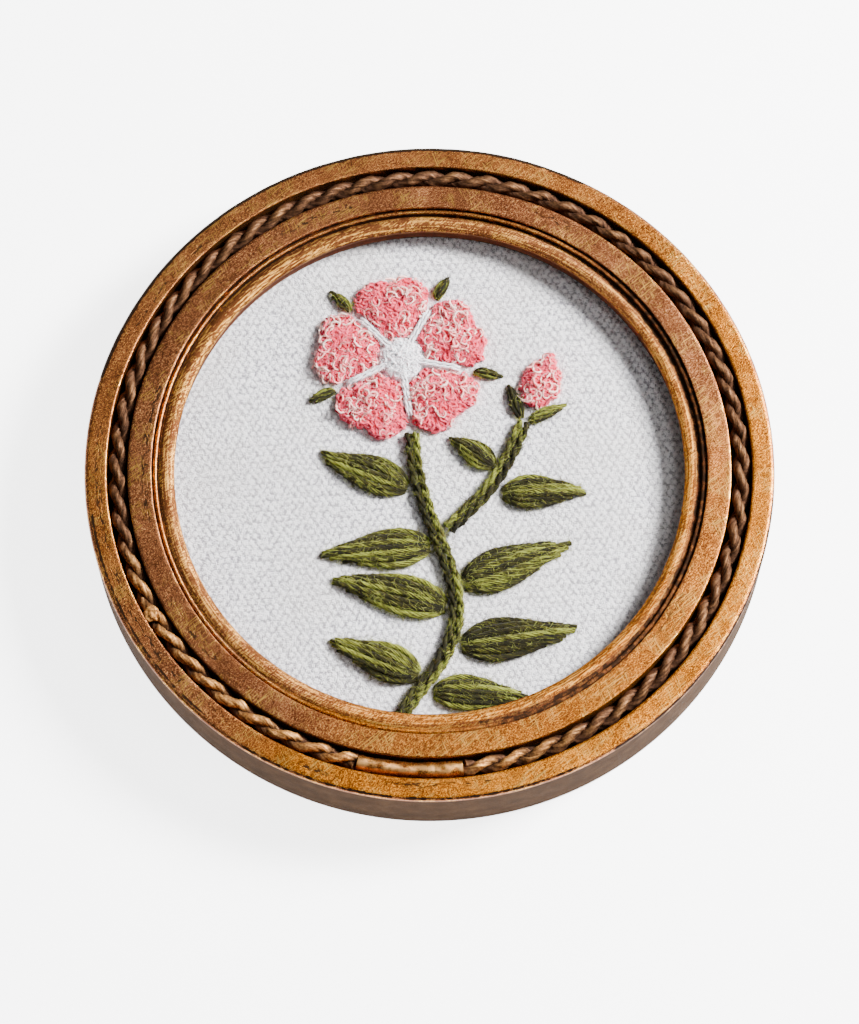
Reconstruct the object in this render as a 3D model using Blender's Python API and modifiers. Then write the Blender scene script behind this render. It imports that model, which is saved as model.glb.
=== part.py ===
"""Framed embroidery: a round gilt frame with a twisted cord let into its face, and a flower spray on linen.

It lies on its back, face up. The origin is the middle of the back. +Y is the top of the picture.
Sizes are metres.
"""

import math
from collections import namedtuple

import bmesh
import bpy
from mathutils import Vector

# The turned frame, from a sight opening of 3.5 inches
FRAME_RADIUS = 0.060
FACE_HEIGHT = 0.015
EDGE_ROUND = 0.0007
EDGE_MIDDLE = 0.3
BACK_CHAMFER = 0.0004
FRAME_STEPS = 64

# The channel in the face that holds the cord
CHANNEL_OUTER = 0.0561
CHANNEL_INNER = 0.0525
CHANNEL_DEPTH = 0.0033
CHANNEL_COVE = 0.0010

# The step and the rounded bead beside the opening
STEP_RADIUS = 0.0484
STEP_FOOT_RADIUS = 0.0476
STEP_DROP = 0.00135
STEP_LEAN = 0.0001
STEP_LEAN_LEVEL = 0.6
BEAD_RADIUS = 0.0461
BEAD_WIDTH = 0.0015
BEAD_RISE = 0.0015
BEAD_DROP = 0.0024
BEAD_START = 45.0
BEAD_SPANS = 6

# The rabbet, and what lies in it
CLOTH_DROP = 0.0060
CLOTH_THICKNESS = 0.0010
BOARD_THICKNESS = 0.0030
RABBET_RADIUS = 0.0475
WALL_RADIUS = 0.0450
GAP = 0.0003
CLOTH_RADIUS = RABBET_RADIUS - GAP
CLOTH_TOP = FACE_HEIGHT - CLOTH_DROP
WORK_FLOOR = CLOTH_TOP + GAP
DISC_CORNERS = 64

# The twisted cord: two plies make one bulge for each half turn
CORD_RADIUS = 0.0543
CORD_HALF_WIDTH = 0.0015
CORD_WAIST = 0.00095
CORD_CORNERS = 8
CORD_BULGES = 61
STEPS_PER_BULGE = 5
CORD_HEIGHT = FACE_HEIGHT - CHANNEL_DEPTH + GAP + CORD_HALF_WIDTH
SLEEVE_START = 257.0
SLEEVE_END = 276.0
SLEEVE_HALF_WIDTH = 0.00135
SLEEVE_POINTS = 12

# The flower: five petals round a white eye
FLOWER_X = -0.0050
FLOWER_Y = 0.0215
FLOWER_TURN = 8.0
PETALS = 5
STEM_SIDE = 270
PETAL_LENGTH = 0.0158
PETAL_HEIGHT = 0.0019
PETAL_EDGE = 0.0008
PETAL_GRID = (7, 8)
PETAL_SHOULDER = 0.28
PETAL_NOTCH = 0.06
NOTCH_WIDTH = 0.25
TUFT_HEIGHT = 0.00022
TUFT_TURNS = 6.5
FURROW_CLOSE = 0.0010
PETAL_DOME = (0.10, 0.88)
EYE_RADIUS = 0.0044
EYE_HEIGHT = 0.0021
WHITE_STITCH_ROOT = 0.6
WHITE_STITCH_END = 0.0108
WHITE_STITCH_WIDTH = 0.0011
WHITE_STITCH_HEIGHT = 0.0012

# Sepals that show between the petals
SEPAL_START = 0.0132
SEPAL_LENGTH = 0.0050
SEPAL_WIDTH = 0.0010
SEPAL_HEIGHT = 0.0012
SEPAL_STRANDS = 3

# Stems: two yarns couched side by side
STEM_HALF_WIDTH = 0.00145
STEM_HALF_HEIGHT = 0.00085
STEM_GROOVE = 0.45
STEM_CORNERS = 12
STEM_START = 0.0141
STEM_ROUTE = (
    (-0.0024, 0.0010),
    (-0.0006, -0.0060),
    (0.0020, -0.0130),
    (0.0042, -0.0200),
    (0.0046, -0.0270),
    (0.0020, -0.0340),
    (-0.0022, -0.0398),
    (-0.0048, -0.0438),
)
STALK_LEAVES = 0.36
STALK_ROUTE = (
    (0.0068, -0.0066),
    (0.0106, -0.0024),
    (0.0140, 0.0034),
    (0.0166, 0.0096),
)
STALK_TURN = 42.0
ROUTE_STEPS = 16
MAIN_POINTS = 27
STALK_POINTS = 14

# The closed bud at the end of its stalk
BUD_START = 0.0036
BUD_LENGTH = 0.0105
BUD_HALF_WIDTH = 0.0036
BUD_HEIGHT = 0.0021
BUD_OUTLINE = (0.12, 0.92)
BUD_DOME = (0.15, 0.87)
BUD_ROUNDING = 0.10
BUD_SEPAL_TURN = 42.0
BUD_SEPAL_LENGTH = 0.0072
BUD_SEPAL_WIDTH = 0.0011

# Leaves: the stem that carries each, its place along that stem, its heading in degrees and its size
Leaf = namedtuple("Leaf", "stem along heading length half_width")
LEAVES = (
    Leaf("main", 0.20, 158.0, 0.0170, 0.0034),
    Leaf("main", 0.38, 186.0, 0.0190, 0.0036),
    Leaf("main", 0.53, 22.0, 0.0200, 0.0038),
    Leaf("main", 0.60, 166.0, 0.0205, 0.0038),
    Leaf("main", 0.73, 8.0, 0.0205, 0.0038),
    Leaf("main", 0.85, 158.0, 0.0165, 0.0034),
    Leaf("main", 0.90, -3.0, 0.0165, 0.0032),
    Leaf("stalk", 0.38, 2.0, 0.0150, 0.0031),
    Leaf("stalk", 0.60, 146.0, 0.0095, 0.0024),
)
LEAF_STRANDS = 7
LEAF_STATIONS = 5
LEAF_HEIGHT = 0.0016
LEAF_EDGE = 0.0007
LEAF_RIB = 0.00035
LEAF_BASE_WIDTH = 0.26
LEAF_TIP_WIDTH = 0.50
LEAF_SHORTENING = 0.36
LEAF_SCALLOP = 0.0007
LEAF_BELLY = 0.8
LEAF_DOME = (0.12, 0.92)


def clear_scene():
    for obj in list(bpy.data.objects):
        bpy.data.objects.remove(obj, do_unlink=True)


def collection(name):
    made = bpy.data.collections.new(name)
    bpy.context.scene.collection.children.link(made)
    return made


def srgb(hex_colour):
    """The linear colour of an sRGB hex value."""
    channels = [int(hex_colour[i : i + 2], 16) / 255 for i in (0, 2, 4)]
    return [c / 12.92 if c <= 0.04045 else ((c + 0.055) / 1.055) ** 2.4 for c in channels] + [1.0]


def finish(name, hex_colour, roughness, metallic=0.0):
    made = bpy.data.materials.new(name)
    made.use_nodes = True
    shader = made.node_tree.nodes["Principled BSDF"]
    shader.inputs["Base Color"].default_value = srgb(hex_colour)
    shader.inputs["Roughness"].default_value = roughness
    shader.inputs["Metallic"].default_value = metallic
    made.diffuse_color = srgb(hex_colour)
    return made


def place(name, data, where, material, smooth_angle=35.0):
    """Puts a mesh in the scene as one named sub-part."""
    obj = bpy.data.objects.new(name, data)
    where.objects.link(obj)
    data.materials.append(material)
    if isinstance(data, bpy.types.Mesh):
        data.shade_smooth()
        data.set_sharp_from_angle(angle=math.radians(smooth_angle))
    return obj


def heading_vector(degrees):
    angle = math.radians(degrees)
    return Vector((math.cos(angle), math.sin(angle)))


def turned_ring(name, profile, where, material):
    """A ring turned round Z from a closed profile of (radius, height) that runs down its outer side."""
    mesh = bpy.data.meshes.new(name)
    points = [(radius, 0.0, height) for radius, height in profile]
    loop = [(i, (i + 1) % len(points)) for i in range(len(points))]
    mesh.from_pydata(points, loop, [])
    obj = place(name, mesh, where, material)
    screw = obj.modifiers.new("turning", "SCREW")
    screw.axis = "Z"
    screw.steps = FRAME_STEPS
    screw.render_steps = FRAME_STEPS
    screw.use_merge_vertices = True
    screw.merge_threshold = 0.00001
    screw.use_smooth_shade = True
    return obj


def frame_profile():
    """The moulding's section, from the outer edge of the face down the outside and back up inside."""
    floor = FACE_HEIGHT - CHANNEL_DEPTH
    points = [
        (FRAME_RADIUS - EDGE_ROUND, FACE_HEIGHT),
        (FRAME_RADIUS - EDGE_MIDDLE * EDGE_ROUND, FACE_HEIGHT - EDGE_MIDDLE * EDGE_ROUND),
        (FRAME_RADIUS, FACE_HEIGHT - EDGE_ROUND),
        (FRAME_RADIUS, BACK_CHAMFER),
        (FRAME_RADIUS - BACK_CHAMFER, 0.0),
        (RABBET_RADIUS + BACK_CHAMFER, 0.0),
        (RABBET_RADIUS, BACK_CHAMFER),
        (RABBET_RADIUS, WORK_FLOOR),
        (WALL_RADIUS, WORK_FLOOR),
    ]
    bead_height = FACE_HEIGHT - BEAD_DROP
    for i in range(BEAD_SPANS + 1):
        angle = math.radians(180.0 + (BEAD_START - 180.0) * i / BEAD_SPANS)
        radius = BEAD_RADIUS + BEAD_WIDTH * math.cos(angle)
        points.append((radius, bead_height + BEAD_RISE * math.sin(angle)))
    points += [
        (STEP_FOOT_RADIUS, FACE_HEIGHT - STEP_DROP),
        (STEP_RADIUS - STEP_LEAN, FACE_HEIGHT - STEP_LEAN_LEVEL * STEP_DROP),
        (STEP_RADIUS, FACE_HEIGHT),
        (CHANNEL_INNER, FACE_HEIGHT),
        (CHANNEL_INNER, floor + CHANNEL_COVE),
        (CHANNEL_INNER + CHANNEL_COVE, floor),
        (CHANNEL_OUTER - CHANNEL_COVE, floor),
        (CHANNEL_OUTER, floor + CHANNEL_COVE),
        (CHANNEL_OUTER, FACE_HEIGHT),
    ]
    return points


def disc(name, radius, low, high, where, material):
    """A flat round piece between two heights."""
    bm = bmesh.new()
    bmesh.ops.create_cone(
        bm,
        cap_ends=True,
        segments=DISC_CORNERS,
        radius1=radius,
        radius2=radius,
        depth=high - low,
    )
    bmesh.ops.translate(bm, verts=bm.verts, vec=(0.0, 0.0, (low + high) / 2))
    mesh = bpy.data.meshes.new(name)
    bm.to_mesh(mesh)
    bm.free()
    return place(name, mesh, where, material)


def section_curve(name, corners, guides):
    """A closed outline for a swept piece. It runs clockwise, so the swept faces point out."""
    data = bpy.data.curves.new(name, "CURVE")
    data.dimensions = "2D"
    spline = data.splines.new("POLY")
    spline.points.add(len(corners) - 1)
    for point, (x, y) in zip(spline.points, reversed(corners)):
        point.co = (x, y, 0.0, 1.0)
    spline.use_cyclic_u = True
    obj = bpy.data.objects.new(name, data)
    obj.hide_render = True
    obj.display_type = "WIRE"
    guides.objects.link(obj)
    return obj


def swept(name, route, section, where, material, turns=None):
    """The section swept along the route's points, turned about them by the angles in turns."""
    data = bpy.data.curves.new(name, "CURVE")
    data.dimensions = "3D"
    data.twist_mode = "Z_UP"
    data.bevel_mode = "OBJECT"
    data.bevel_object = section
    data.use_fill_caps = True
    spline = data.splines.new("POLY")
    spline.points.add(len(route) - 1)
    for i, (point, spot) in enumerate(zip(spline.points, route)):
        point.co = (*spot, 1.0)
        point.tilt = turns[i] if turns else 0.0
    return place(name, data, where, material)


def ring_route(radius, height, start, end, count):
    """Points along an arc of the ring, with the angles in degrees."""
    route = []
    for i in range(count):
        side = heading_vector(start + (end - start) * i / (count - 1)) * radius
        route.append((side.x, side.y, height))
    return route


def cord_section():
    """A two-ply cord's section: widest across both plies and narrowest between them."""
    mean = (CORD_HALF_WIDTH + CORD_WAIST) / 2
    swing = (CORD_HALF_WIDTH - CORD_WAIST) / 2
    corners = []
    for i in range(CORD_CORNERS):
        angle = 2 * math.pi * i / CORD_CORNERS
        radius = mean + swing * math.cos(2 * angle)
        corners.append((radius * math.cos(angle), radius * math.sin(angle)))
    return corners


def make_cord(where, guides, material):
    """The cord from one end of its sleeve round to the other."""
    gap_angle = math.degrees(GAP / CORD_RADIUS)
    start = SLEEVE_END + gap_angle
    end = SLEEVE_START + 360.0 - gap_angle
    count = CORD_BULGES * STEPS_PER_BULGE + 1
    route = ring_route(CORD_RADIUS, CORD_HEIGHT, start, end, count)
    turns = [math.pi * i / STEPS_PER_BULGE for i in range(count)]
    section = section_curve("cord_section", cord_section(), guides)
    return swept("twisted_cord", route, section, where, material, turns)


def make_sleeve(where, guides, material):
    """The smooth wrapping over the place where the cord's two ends meet."""
    corners = []
    for i in range(CORD_CORNERS):
        angle = 2 * math.pi * i / CORD_CORNERS
        corners.append((SLEEVE_HALF_WIDTH * math.cos(angle), SLEEVE_HALF_WIDTH * math.sin(angle)))
    height = CORD_HEIGHT - CORD_HALF_WIDTH + SLEEVE_HALF_WIDTH
    route = ring_route(CORD_RADIUS, height, SLEEVE_START, SLEEVE_END, SLEEVE_POINTS)
    section = section_curve("sleeve_section", corners, guides)
    return swept("cord_sleeve", route, section, where, material)


def smooth_route(points, count):
    """Evenly spaced points on a smooth curve through the given ones."""
    ends = [points[0] * 2 - points[1], *points, points[-1] * 2 - points[-2]]
    fine = []
    for a, b, c, d in zip(ends, ends[1:], ends[2:], ends[3:]):
        bend = 2 * a - 5 * b + 4 * c - d
        twist = 3 * b - a - 3 * c + d
        for step in range(ROUTE_STEPS):
            t = step / ROUTE_STEPS
            fine.append(b + ((c - a) * t + bend * t**2 + twist * t**3) / 2)
    fine.append(points[-1])
    reach = [0.0]
    for before, after in zip(fine, fine[1:]):
        reach.append(reach[-1] + (after - before).length)
    route = []
    at = 0
    for i in range(count):
        wanted = reach[-1] * i / (count - 1)
        while at < len(fine) - 2 and reach[at + 1] < wanted:
            at += 1
        share = (wanted - reach[at]) / (reach[at + 1] - reach[at])
        route.append(fine[at].lerp(fine[at + 1], share))
    return route


def spot_along(route, along):
    """The point and the direction of travel at a share of a route's length."""
    place_in_list = along * (len(route) - 1)
    at = min(int(place_in_list), len(route) - 2)
    spot = route[at].lerp(route[at + 1], place_in_list - at)
    return spot, (route[at + 1] - route[at]).normalized()


def stem_section():
    """Two yarns side by side: a flat oval with a groove along its middle."""
    corners = []
    for i in range(STEM_CORNERS):
        angle = 2 * math.pi * i / STEM_CORNERS
        groove = 1.0 - STEM_GROOVE * math.sin(angle) ** 8
        corners.append((STEM_HALF_WIDTH * math.cos(angle), STEM_HALF_HEIGHT * math.sin(angle) * groove))
    return corners


def flower_spot(distance, degrees):
    """A point of the flower, by its distance from the eye's middle and its direction."""
    return Vector((FLOWER_X, FLOWER_Y)) + heading_vector(degrees + FLOWER_TURN) * distance


def main_route():
    start = flower_spot(STEM_START, 270.0)
    return smooth_route([start] + [Vector(p) for p in STEM_ROUTE], MAIN_POINTS)


def stalk_route(main):
    """The bud's stalk, from beside the main stem."""
    spot, travel = spot_along(main, STALK_LEAVES)
    away = heading_vector(STALK_TURN)
    start = spot + away * clearance(away, travel, STEM_HALF_WIDTH)
    return smooth_route([start] + [Vector(p) for p in STALK_ROUTE], STALK_POINTS)


def clearance(heading, travel, half_width):
    """How far from a stem's centre line a piece of this half width starts, to stay clear of it."""
    across = abs(heading.x * travel.y - heading.y * travel.x)
    beside = abs(heading.dot(travel))
    return (STEM_HALF_WIDTH + GAP + half_width * beside) / across


def worked_patch(name, spot, stations, columns, where, material):
    """A raised patch. spot(u, v) is its surface: u from 0 to 1 along it, v from -1 to 1 across it."""
    bm = bmesh.new()
    bmesh.ops.create_grid(bm, x_segments=stations, y_segments=columns, size=1.0)
    for vert in bm.verts:
        x, y, height = spot((vert.co.x + 1.0) / 2, vert.co.y)
        vert.co = (x, y, WORK_FLOOR + height)
    sunk = bmesh.ops.extrude_face_region(bm, geom=bm.faces[:], use_keep_orig=True)
    for item in sunk["geom"]:
        if isinstance(item, bmesh.types.BMVert):
            item.co.z = WORK_FLOOR
    bmesh.ops.recalc_face_normals(bm, faces=bm.faces[:])
    mesh = bpy.data.meshes.new(name)
    bm.to_mesh(mesh)
    bm.free()
    return place(name, mesh, where, material)


def dome(u, v, span):
    """How high a patch swells, from 0 to 1: the stretch of a half wave that span gives, as shares."""
    return (1.0 - v * v) * math.sin(math.pi * (span[0] + (span[1] - span[0]) * u))


def stitched_leaf(base, heading, length, half_width, height, strands):
    """The surface of a leaf of long stitches laid side by side, which bow out to a scalloped tip."""
    forward = heading_vector(heading)
    side = Vector((-forward.y, forward.x))

    def spot(u, v):
        rib = math.cos(math.pi * strands * v) if strands % 2 else -math.cos(math.pi * strands * v)
        reach = length * (1.0 - LEAF_SHORTENING * v * v) - LEAF_SCALLOP * (1.0 - rib) / 2
        swell = math.sin(math.pi * u**LEAF_BELLY)
        taper = LEAF_BASE_WIDTH + (LEAF_TIP_WIDTH - LEAF_BASE_WIDTH) * u
        width = half_width * (taper + (1.0 - taper) * swell)
        point = base + forward * (reach * u) + side * (width * v)
        crown = LEAF_EDGE + (height - LEAF_EDGE) * dome(u, v, LEAF_DOME)
        return point.x, point.y, crown - LEAF_RIB * (1.0 - rib) / 2

    return spot


def make_leaf(name, base, heading, size, strands, where, material):
    spot = stitched_leaf(base, heading, *size, strands)
    return worked_patch(name, spot, LEAF_STATIONS, 2 * strands, where, material)


def petal_reach(v):
    """How far the petal's rim is from the eye's middle: round shoulders and a shallow notch."""
    notch = PETAL_NOTCH * math.exp(-((v / NOTCH_WIDTH) ** 2))
    return PETAL_LENGTH * (1.0 - PETAL_SHOULDER * v**4 - notch)


def petal(middle):
    """The surface of one petal, which leaves room on both sides for a white stitch."""
    half_sector = 180.0 / PETALS
    start = EYE_RADIUS + GAP

    def spot(u, v):
        distance = start + (petal_reach(v) - start) * u
        beyond = min(max((distance - WHITE_STITCH_END) / FURROW_CLOSE, 0.0), 1.0)
        room = WHITE_STITCH_WIDTH / 2 + GAP
        margin = room + (GAP / 2 - room) * beyond
        open_angle = half_sector - math.degrees(math.asin(margin / distance))
        point = flower_spot(distance, middle + open_angle * v)
        tufts = TUFT_HEIGHT * math.sin(TUFT_TURNS * u) * math.cos(TUFT_TURNS * v + middle)
        return point.x, point.y, PETAL_EDGE + (PETAL_HEIGHT - PETAL_EDGE) * dome(u, v, PETAL_DOME) + tufts

    return spot


def make_flower(where, guides, pink, white, green):
    """The petals, the white eye with its straight stitches, and the sepals that show between the petals."""
    eye = make_eye(where, white)
    shown = 0
    for i in range(PETALS):
        middle = 90.0 + 360.0 / PETALS * i
        edge = middle + 180.0 / PETALS
        worked_patch(f"petal_{i + 1}", petal(middle), *PETAL_GRID, where, pink)
        ray = make_white_stitch(f"white_stitch_{i + 1}", edge, guides, white)
        union = eye.modifiers.new("white stitch", "BOOLEAN")
        union.operation = "UNION"
        union.solver = "EXACT"
        union.object = ray
        if round(edge) != STEM_SIDE:
            shown += 1
            base = flower_spot(SEPAL_START, edge)
            turn = edge + FLOWER_TURN
            size = (SEPAL_LENGTH, SEPAL_WIDTH, SEPAL_HEIGHT)
            make_leaf(f"sepal_{shown}", base, turn, size, SEPAL_STRANDS, where, green)


def make_eye(where, white):
    """The padded white eye: the top of a flattened ball, closed by a flat foot."""
    bm = bmesh.new()
    bmesh.ops.create_uvsphere(bm, u_segments=20, v_segments=10, radius=1.0)
    halves = bm.verts[:] + bm.edges[:] + bm.faces[:]
    cut = bmesh.ops.bisect_plane(
        bm, geom=halves, dist=1e-6, plane_co=(0, 0, 0), plane_no=(0, 0, -1), clear_outer=True
    )
    rim = [item for item in cut["geom_cut"] if isinstance(item, bmesh.types.BMEdge)]
    bmesh.ops.edgeloop_fill(bm, edges=rim)
    bmesh.ops.recalc_face_normals(bm, faces=bm.faces[:])
    bmesh.ops.scale(bm, verts=bm.verts, vec=(EYE_RADIUS, EYE_RADIUS, EYE_HEIGHT))
    bmesh.ops.translate(bm, verts=bm.verts, vec=(FLOWER_X, FLOWER_Y, WORK_FLOOR))
    mesh = bpy.data.meshes.new("white_eye")
    bm.to_mesh(mesh)
    bm.free()
    return place("white_eye", mesh, where, white)


def make_white_stitch(name, edge, guides, white):
    """One straight white stitch, from inside the eye out along the furrow between two petals."""
    start = EYE_RADIUS * WHITE_STITCH_ROOT
    end = WHITE_STITCH_END - GAP
    along = heading_vector(edge + FLOWER_TURN)
    side = Vector((-along.y, along.x))
    middle = Vector((FLOWER_X, FLOWER_Y))

    def spot(u, v):
        narrowing = 1.0 - 0.5 * u**6
        width = WHITE_STITCH_WIDTH / 2 * narrowing
        point = middle + along * (start + (end - start) * u) + side * (width * v)
        return point.x, point.y, WHITE_STITCH_HEIGHT * (0.55 + 0.45 * (1.0 - v * v) * narrowing)

    stitch = worked_patch(name, spot, 4, 4, guides, white)
    stitch.hide_render = True
    stitch.display_type = "WIRE"
    return stitch


def make_bud(stalk, where, pink, green):
    """The closed bud, with a sepal on each side of its foot."""
    end = stalk[-1]
    travel = (stalk[-1] - stalk[-2]).normalized()
    heading = math.degrees(math.atan2(travel.y, travel.x))
    side = Vector((-travel.y, travel.x))

    def spot(u, v):
        width = BUD_HALF_WIDTH * dome(u, 0.0, BUD_OUTLINE)
        reach = BUD_LENGTH * (1.0 - BUD_ROUNDING * v * v)
        point = end + travel * (BUD_START + reach * u) + side * (width * v)
        tufts = TUFT_HEIGHT * math.sin(TUFT_TURNS * u) * math.cos(TUFT_TURNS * v)
        return point.x, point.y, PETAL_EDGE + (BUD_HEIGHT - PETAL_EDGE) * dome(u, v, BUD_DOME) + tufts

    worked_patch("bud", spot, *PETAL_GRID, where, pink)
    off = BUD_SEPAL_WIDTH / 2 + GAP
    for number, way in enumerate((1, -1), 1):
        base = end + travel * off + side * (way * off)
        turn = heading + way * BUD_SEPAL_TURN
        size = (BUD_SEPAL_LENGTH, BUD_SEPAL_WIDTH, SEPAL_HEIGHT)
        make_leaf(f"bud_sepal_{number}", base, turn, size, SEPAL_STRANDS, where, green)


def raised(route):
    """A route on the cloth, at the height of a stem's middle."""
    return [(p.x, p.y, WORK_FLOOR + STEM_HALF_HEIGHT) for p in route]


def make_greenery(where, guides, pink, green):
    """Both stems, the bud and every leaf."""
    main = main_route()
    stalk = stalk_route(main)
    section = section_curve("stem_section", stem_section(), guides)
    swept("main_stem", raised(main), section, where, green)
    swept("bud_stalk", raised(stalk), section, where, green)
    routes = {"main": main, "stalk": stalk}
    for number, leaf in enumerate(LEAVES, 1):
        spot, travel = spot_along(routes[leaf.stem], leaf.along)
        heading = heading_vector(leaf.heading)
        start = clearance(heading, travel, leaf.half_width * LEAF_BASE_WIDTH)
        base = spot + heading * start
        size = (leaf.length, leaf.half_width, LEAF_HEIGHT)
        make_leaf(f"leaf_{number}", base, leaf.heading, size, LEAF_STRANDS, where, green)
    make_bud(stalk, where, pink, green)


def main():
    clear_scene()
    parts = collection("framed_embroidery")
    guides = collection("guides")
    gilt = finish("antiqued_gold_leaf", "B8793A", 0.38, 0.85)
    bronze = finish("gilded_cord", "7A5638", 0.42, 0.75)
    linen = finish("plain_woven_linen", "DEDCDD", 0.90)
    board = finish("backing_board", "8A6B4C", 0.85)
    pink = finish("looped_pink_yarn", "E0838C", 0.90)
    white = finish("white_yarn", "EDE6EA", 0.90)
    green = finish("olive_yarn", "5A5A2A", 0.88)
    turned_ring("frame_ring", frame_profile(), parts, gilt)
    make_cord(parts, guides, bronze)
    make_sleeve(parts, guides, gilt)
    disc("ground_cloth", CLOTH_RADIUS, CLOTH_TOP - CLOTH_THICKNESS, CLOTH_TOP, parts, linen)
    board_top = CLOTH_TOP - CLOTH_THICKNESS - GAP
    disc("backing_board", CLOTH_RADIUS, board_top - BOARD_THICKNESS, board_top, parts, board)
    make_flower(parts, guides, pink, white, green)
    make_greenery(parts, guides, pink, green)


main()
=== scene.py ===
"""A small round gilt frame with a twisted cord in its face, holding a flower spray worked in wool on linen.

It lies on its back at the origin, face up, with +Y to the top of the picture. Sizes are metres, except where a
name ends in mm. Angles are degrees.
"""

import math
from collections import namedtuple

import bmesh
import bpy
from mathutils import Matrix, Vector, noise


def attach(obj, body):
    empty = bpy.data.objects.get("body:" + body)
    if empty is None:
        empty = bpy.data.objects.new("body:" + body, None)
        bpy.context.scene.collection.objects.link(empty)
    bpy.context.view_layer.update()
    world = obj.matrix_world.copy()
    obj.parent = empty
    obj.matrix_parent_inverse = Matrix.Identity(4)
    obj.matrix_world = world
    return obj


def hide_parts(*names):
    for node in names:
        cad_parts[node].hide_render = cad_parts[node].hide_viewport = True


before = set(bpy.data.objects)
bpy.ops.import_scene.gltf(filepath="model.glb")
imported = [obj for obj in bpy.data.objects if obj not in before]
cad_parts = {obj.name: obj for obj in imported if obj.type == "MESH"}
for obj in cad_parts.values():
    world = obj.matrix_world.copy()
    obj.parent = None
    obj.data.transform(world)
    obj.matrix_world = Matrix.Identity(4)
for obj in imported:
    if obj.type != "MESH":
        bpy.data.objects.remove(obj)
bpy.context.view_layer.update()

MM = 0.001

# The frame's moulding
FACE = 15.0 * MM
OUTER = 60.0 * MM
CHANNEL_OUTER = 56.1 * MM
CHANNEL_INNER = 52.5 * MM
CHANNEL_FLOOR = 11.7 * MM
STEP = 48.4 * MM
BEAD_MIDDLE = 45.9 * MM
BEAD_ROUND = 2.2 * MM
BEAD_LEVEL = 11.7 * MM
BEAD_FOOT = 13.0 * MM
REED = 47.75 * MM
REED_ROUND = 0.42 * MM
REED_LEVEL = 14.05 * MM
LIP = 44.4 * MM
RABBET = 47.5 * MM
WALL_FOOT = 45.0 * MM
LEDGE = 9.3 * MM
RING_STEPS = 360

# How far the gilder's hand leaves the moulding off true
SWELL_LENGTH = 11.0 * MM
SWELL_HEIGHT = 0.10 * MM
NICK_LENGTH = 2.3 * MM
NICK_DEPTH = 0.045 * MM
HIGHEST_SWELL = 0.08 * MM
TRUE_FOOT = 0.6 * MM

# The cord and its sleeve
CORD_RING = 54.3 * MM
CORD_LEVEL = 13.5 * MM
CORD_BULGES = 61
SLEEVE_FROM = 257.0
SLEEVE_TO = 276.0
SLEEVE_DROP = 0.08 * MM
CORD_GAP = 0.32
PUTTY_AT = 209.5
PUTTY_RADIUS = 1.3 * MM

# The cloth
CLOTH_TOP = 9.0 * MM
CLOTH_FOOT = 8.0 * MM
CLOTH_RADIUS = 47.2 * MM
CLOTH_PUCKER = 0.16 * MM
PUCKER_LENGTH = 13.0 * MM
WARP = 0.61 * MM
WEFT = 1.0 * MM
CLOTH_TURN = 4.0
WORK_FLOOR = 9.3 * MM

# The flower
FLOWER = Vector((-5.0 * MM, 21.5 * MM))
FLOWER_TURN = 8.0
PETALS = 5
STEM_SIDE = 270
PETAL_LENGTH = 15.8 * MM
PETAL_INSET = 0.96
PETAL_PAD = 1.9 * MM * 0.84
PETAL_PAD_RIM = 0.5 * MM
EYE_RADIUS = 4.4 * MM
EYE_PAD_RADIUS = EYE_RADIUS * 0.88
EYE_PAD_HEIGHT = 2.1 * MM * 0.74
WHITE_START = EYE_RADIUS * 0.7
WHITE_END = 10.5 * MM
WHITE_WIDTH = 1.1 * MM
WHITE_PAIR = 0.27 * MM
SEPAL_START = 13.2 * MM

# Stems
STEM_START = 14.1 * MM
STEM_HALF_WIDTH = 1.45 * MM
STEM_YARN_APART = 0.66 * MM
STEM_YARN_LEVEL = 0.62 * MM
GAP = 0.3 * MM
STEM_ROUTE = (
    (-2.4, 1.0), (-0.6, -6.0), (2.0, -13.0), (4.2, -20.0), (4.6, -27.0), (2.0, -34.0), (-2.2, -39.8), (-4.8, -43.8)
)
STALK_LEAVES = 0.36
STALK_ROUTE = ((6.8, -6.6), (10.6, -2.4), (14.0, 3.4), (16.6, 9.6))
STALK_TURN = 42.0
MAIN_POINTS = 27
STALK_POINTS = 14

# The bud
BUD_START = 3.6 * MM
BUD_PAD_LENGTH = 10.5 * MM * 0.96
BUD_PAD_HALF_WIDTH = 3.6 * MM * 0.92
BUD_PAD_HEIGHT = 2.1 * MM * 0.72
BUD_PAD_RIM = 0.4 * MM
BUD_SEPAL_TURN = 42.0

# Leaves and sepals: sizes in mm, the number of strands, and the key of the first one's random numbers
Blade = namedtuple("Blade", "kind length_mm half_width_mm height_mm strands first_key yarn_mm")
LEAF = Blade("leaf", 0.0, 0.0, 1.6, 7, 0, 0.0)
SEPAL = Blade("sepal", 5.0, 1.0, 1.2, 3, 60, 0.75)
BUD_SEPAL = Blade("bud_sepal", 7.2, 1.1, 1.2, 3, 70, 0.8)
LEAF_YARN_SHARE = 1.15 / 3.6
LEAF_EDGE = 0.7 * MM
LEAF_BASE_WIDTH = 0.26
LEAF_TIP_WIDTH = 0.50
LEAF_SHORTENING = 0.36
LEAF_LINE_POINTS = 18
PALE_STRANDS = 0.30

# Each leaf: the stem that carries it, its place along that stem, its heading, and its size in mm
Leaf = namedtuple("Leaf", "stem along heading length half_width")
LEAVES = (
    Leaf("main", 0.20, 158.0, 17.0, 3.4),
    Leaf("main", 0.38, 186.0, 19.0, 3.6),
    Leaf("main", 0.53, 22.0, 20.0, 3.8),
    Leaf("main", 0.60, 166.0, 20.5, 3.8),
    Leaf("main", 0.73, 8.0, 20.5, 3.8),
    Leaf("main", 0.85, 158.0, 16.5, 3.4),
    Leaf("main", 0.90, -3.0, 16.5, 3.2),
    Leaf("stalk", 0.38, 2.0, 15.0, 3.1),
    Leaf("stalk", 0.60, 146.0, 9.5, 2.4),
)

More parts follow.
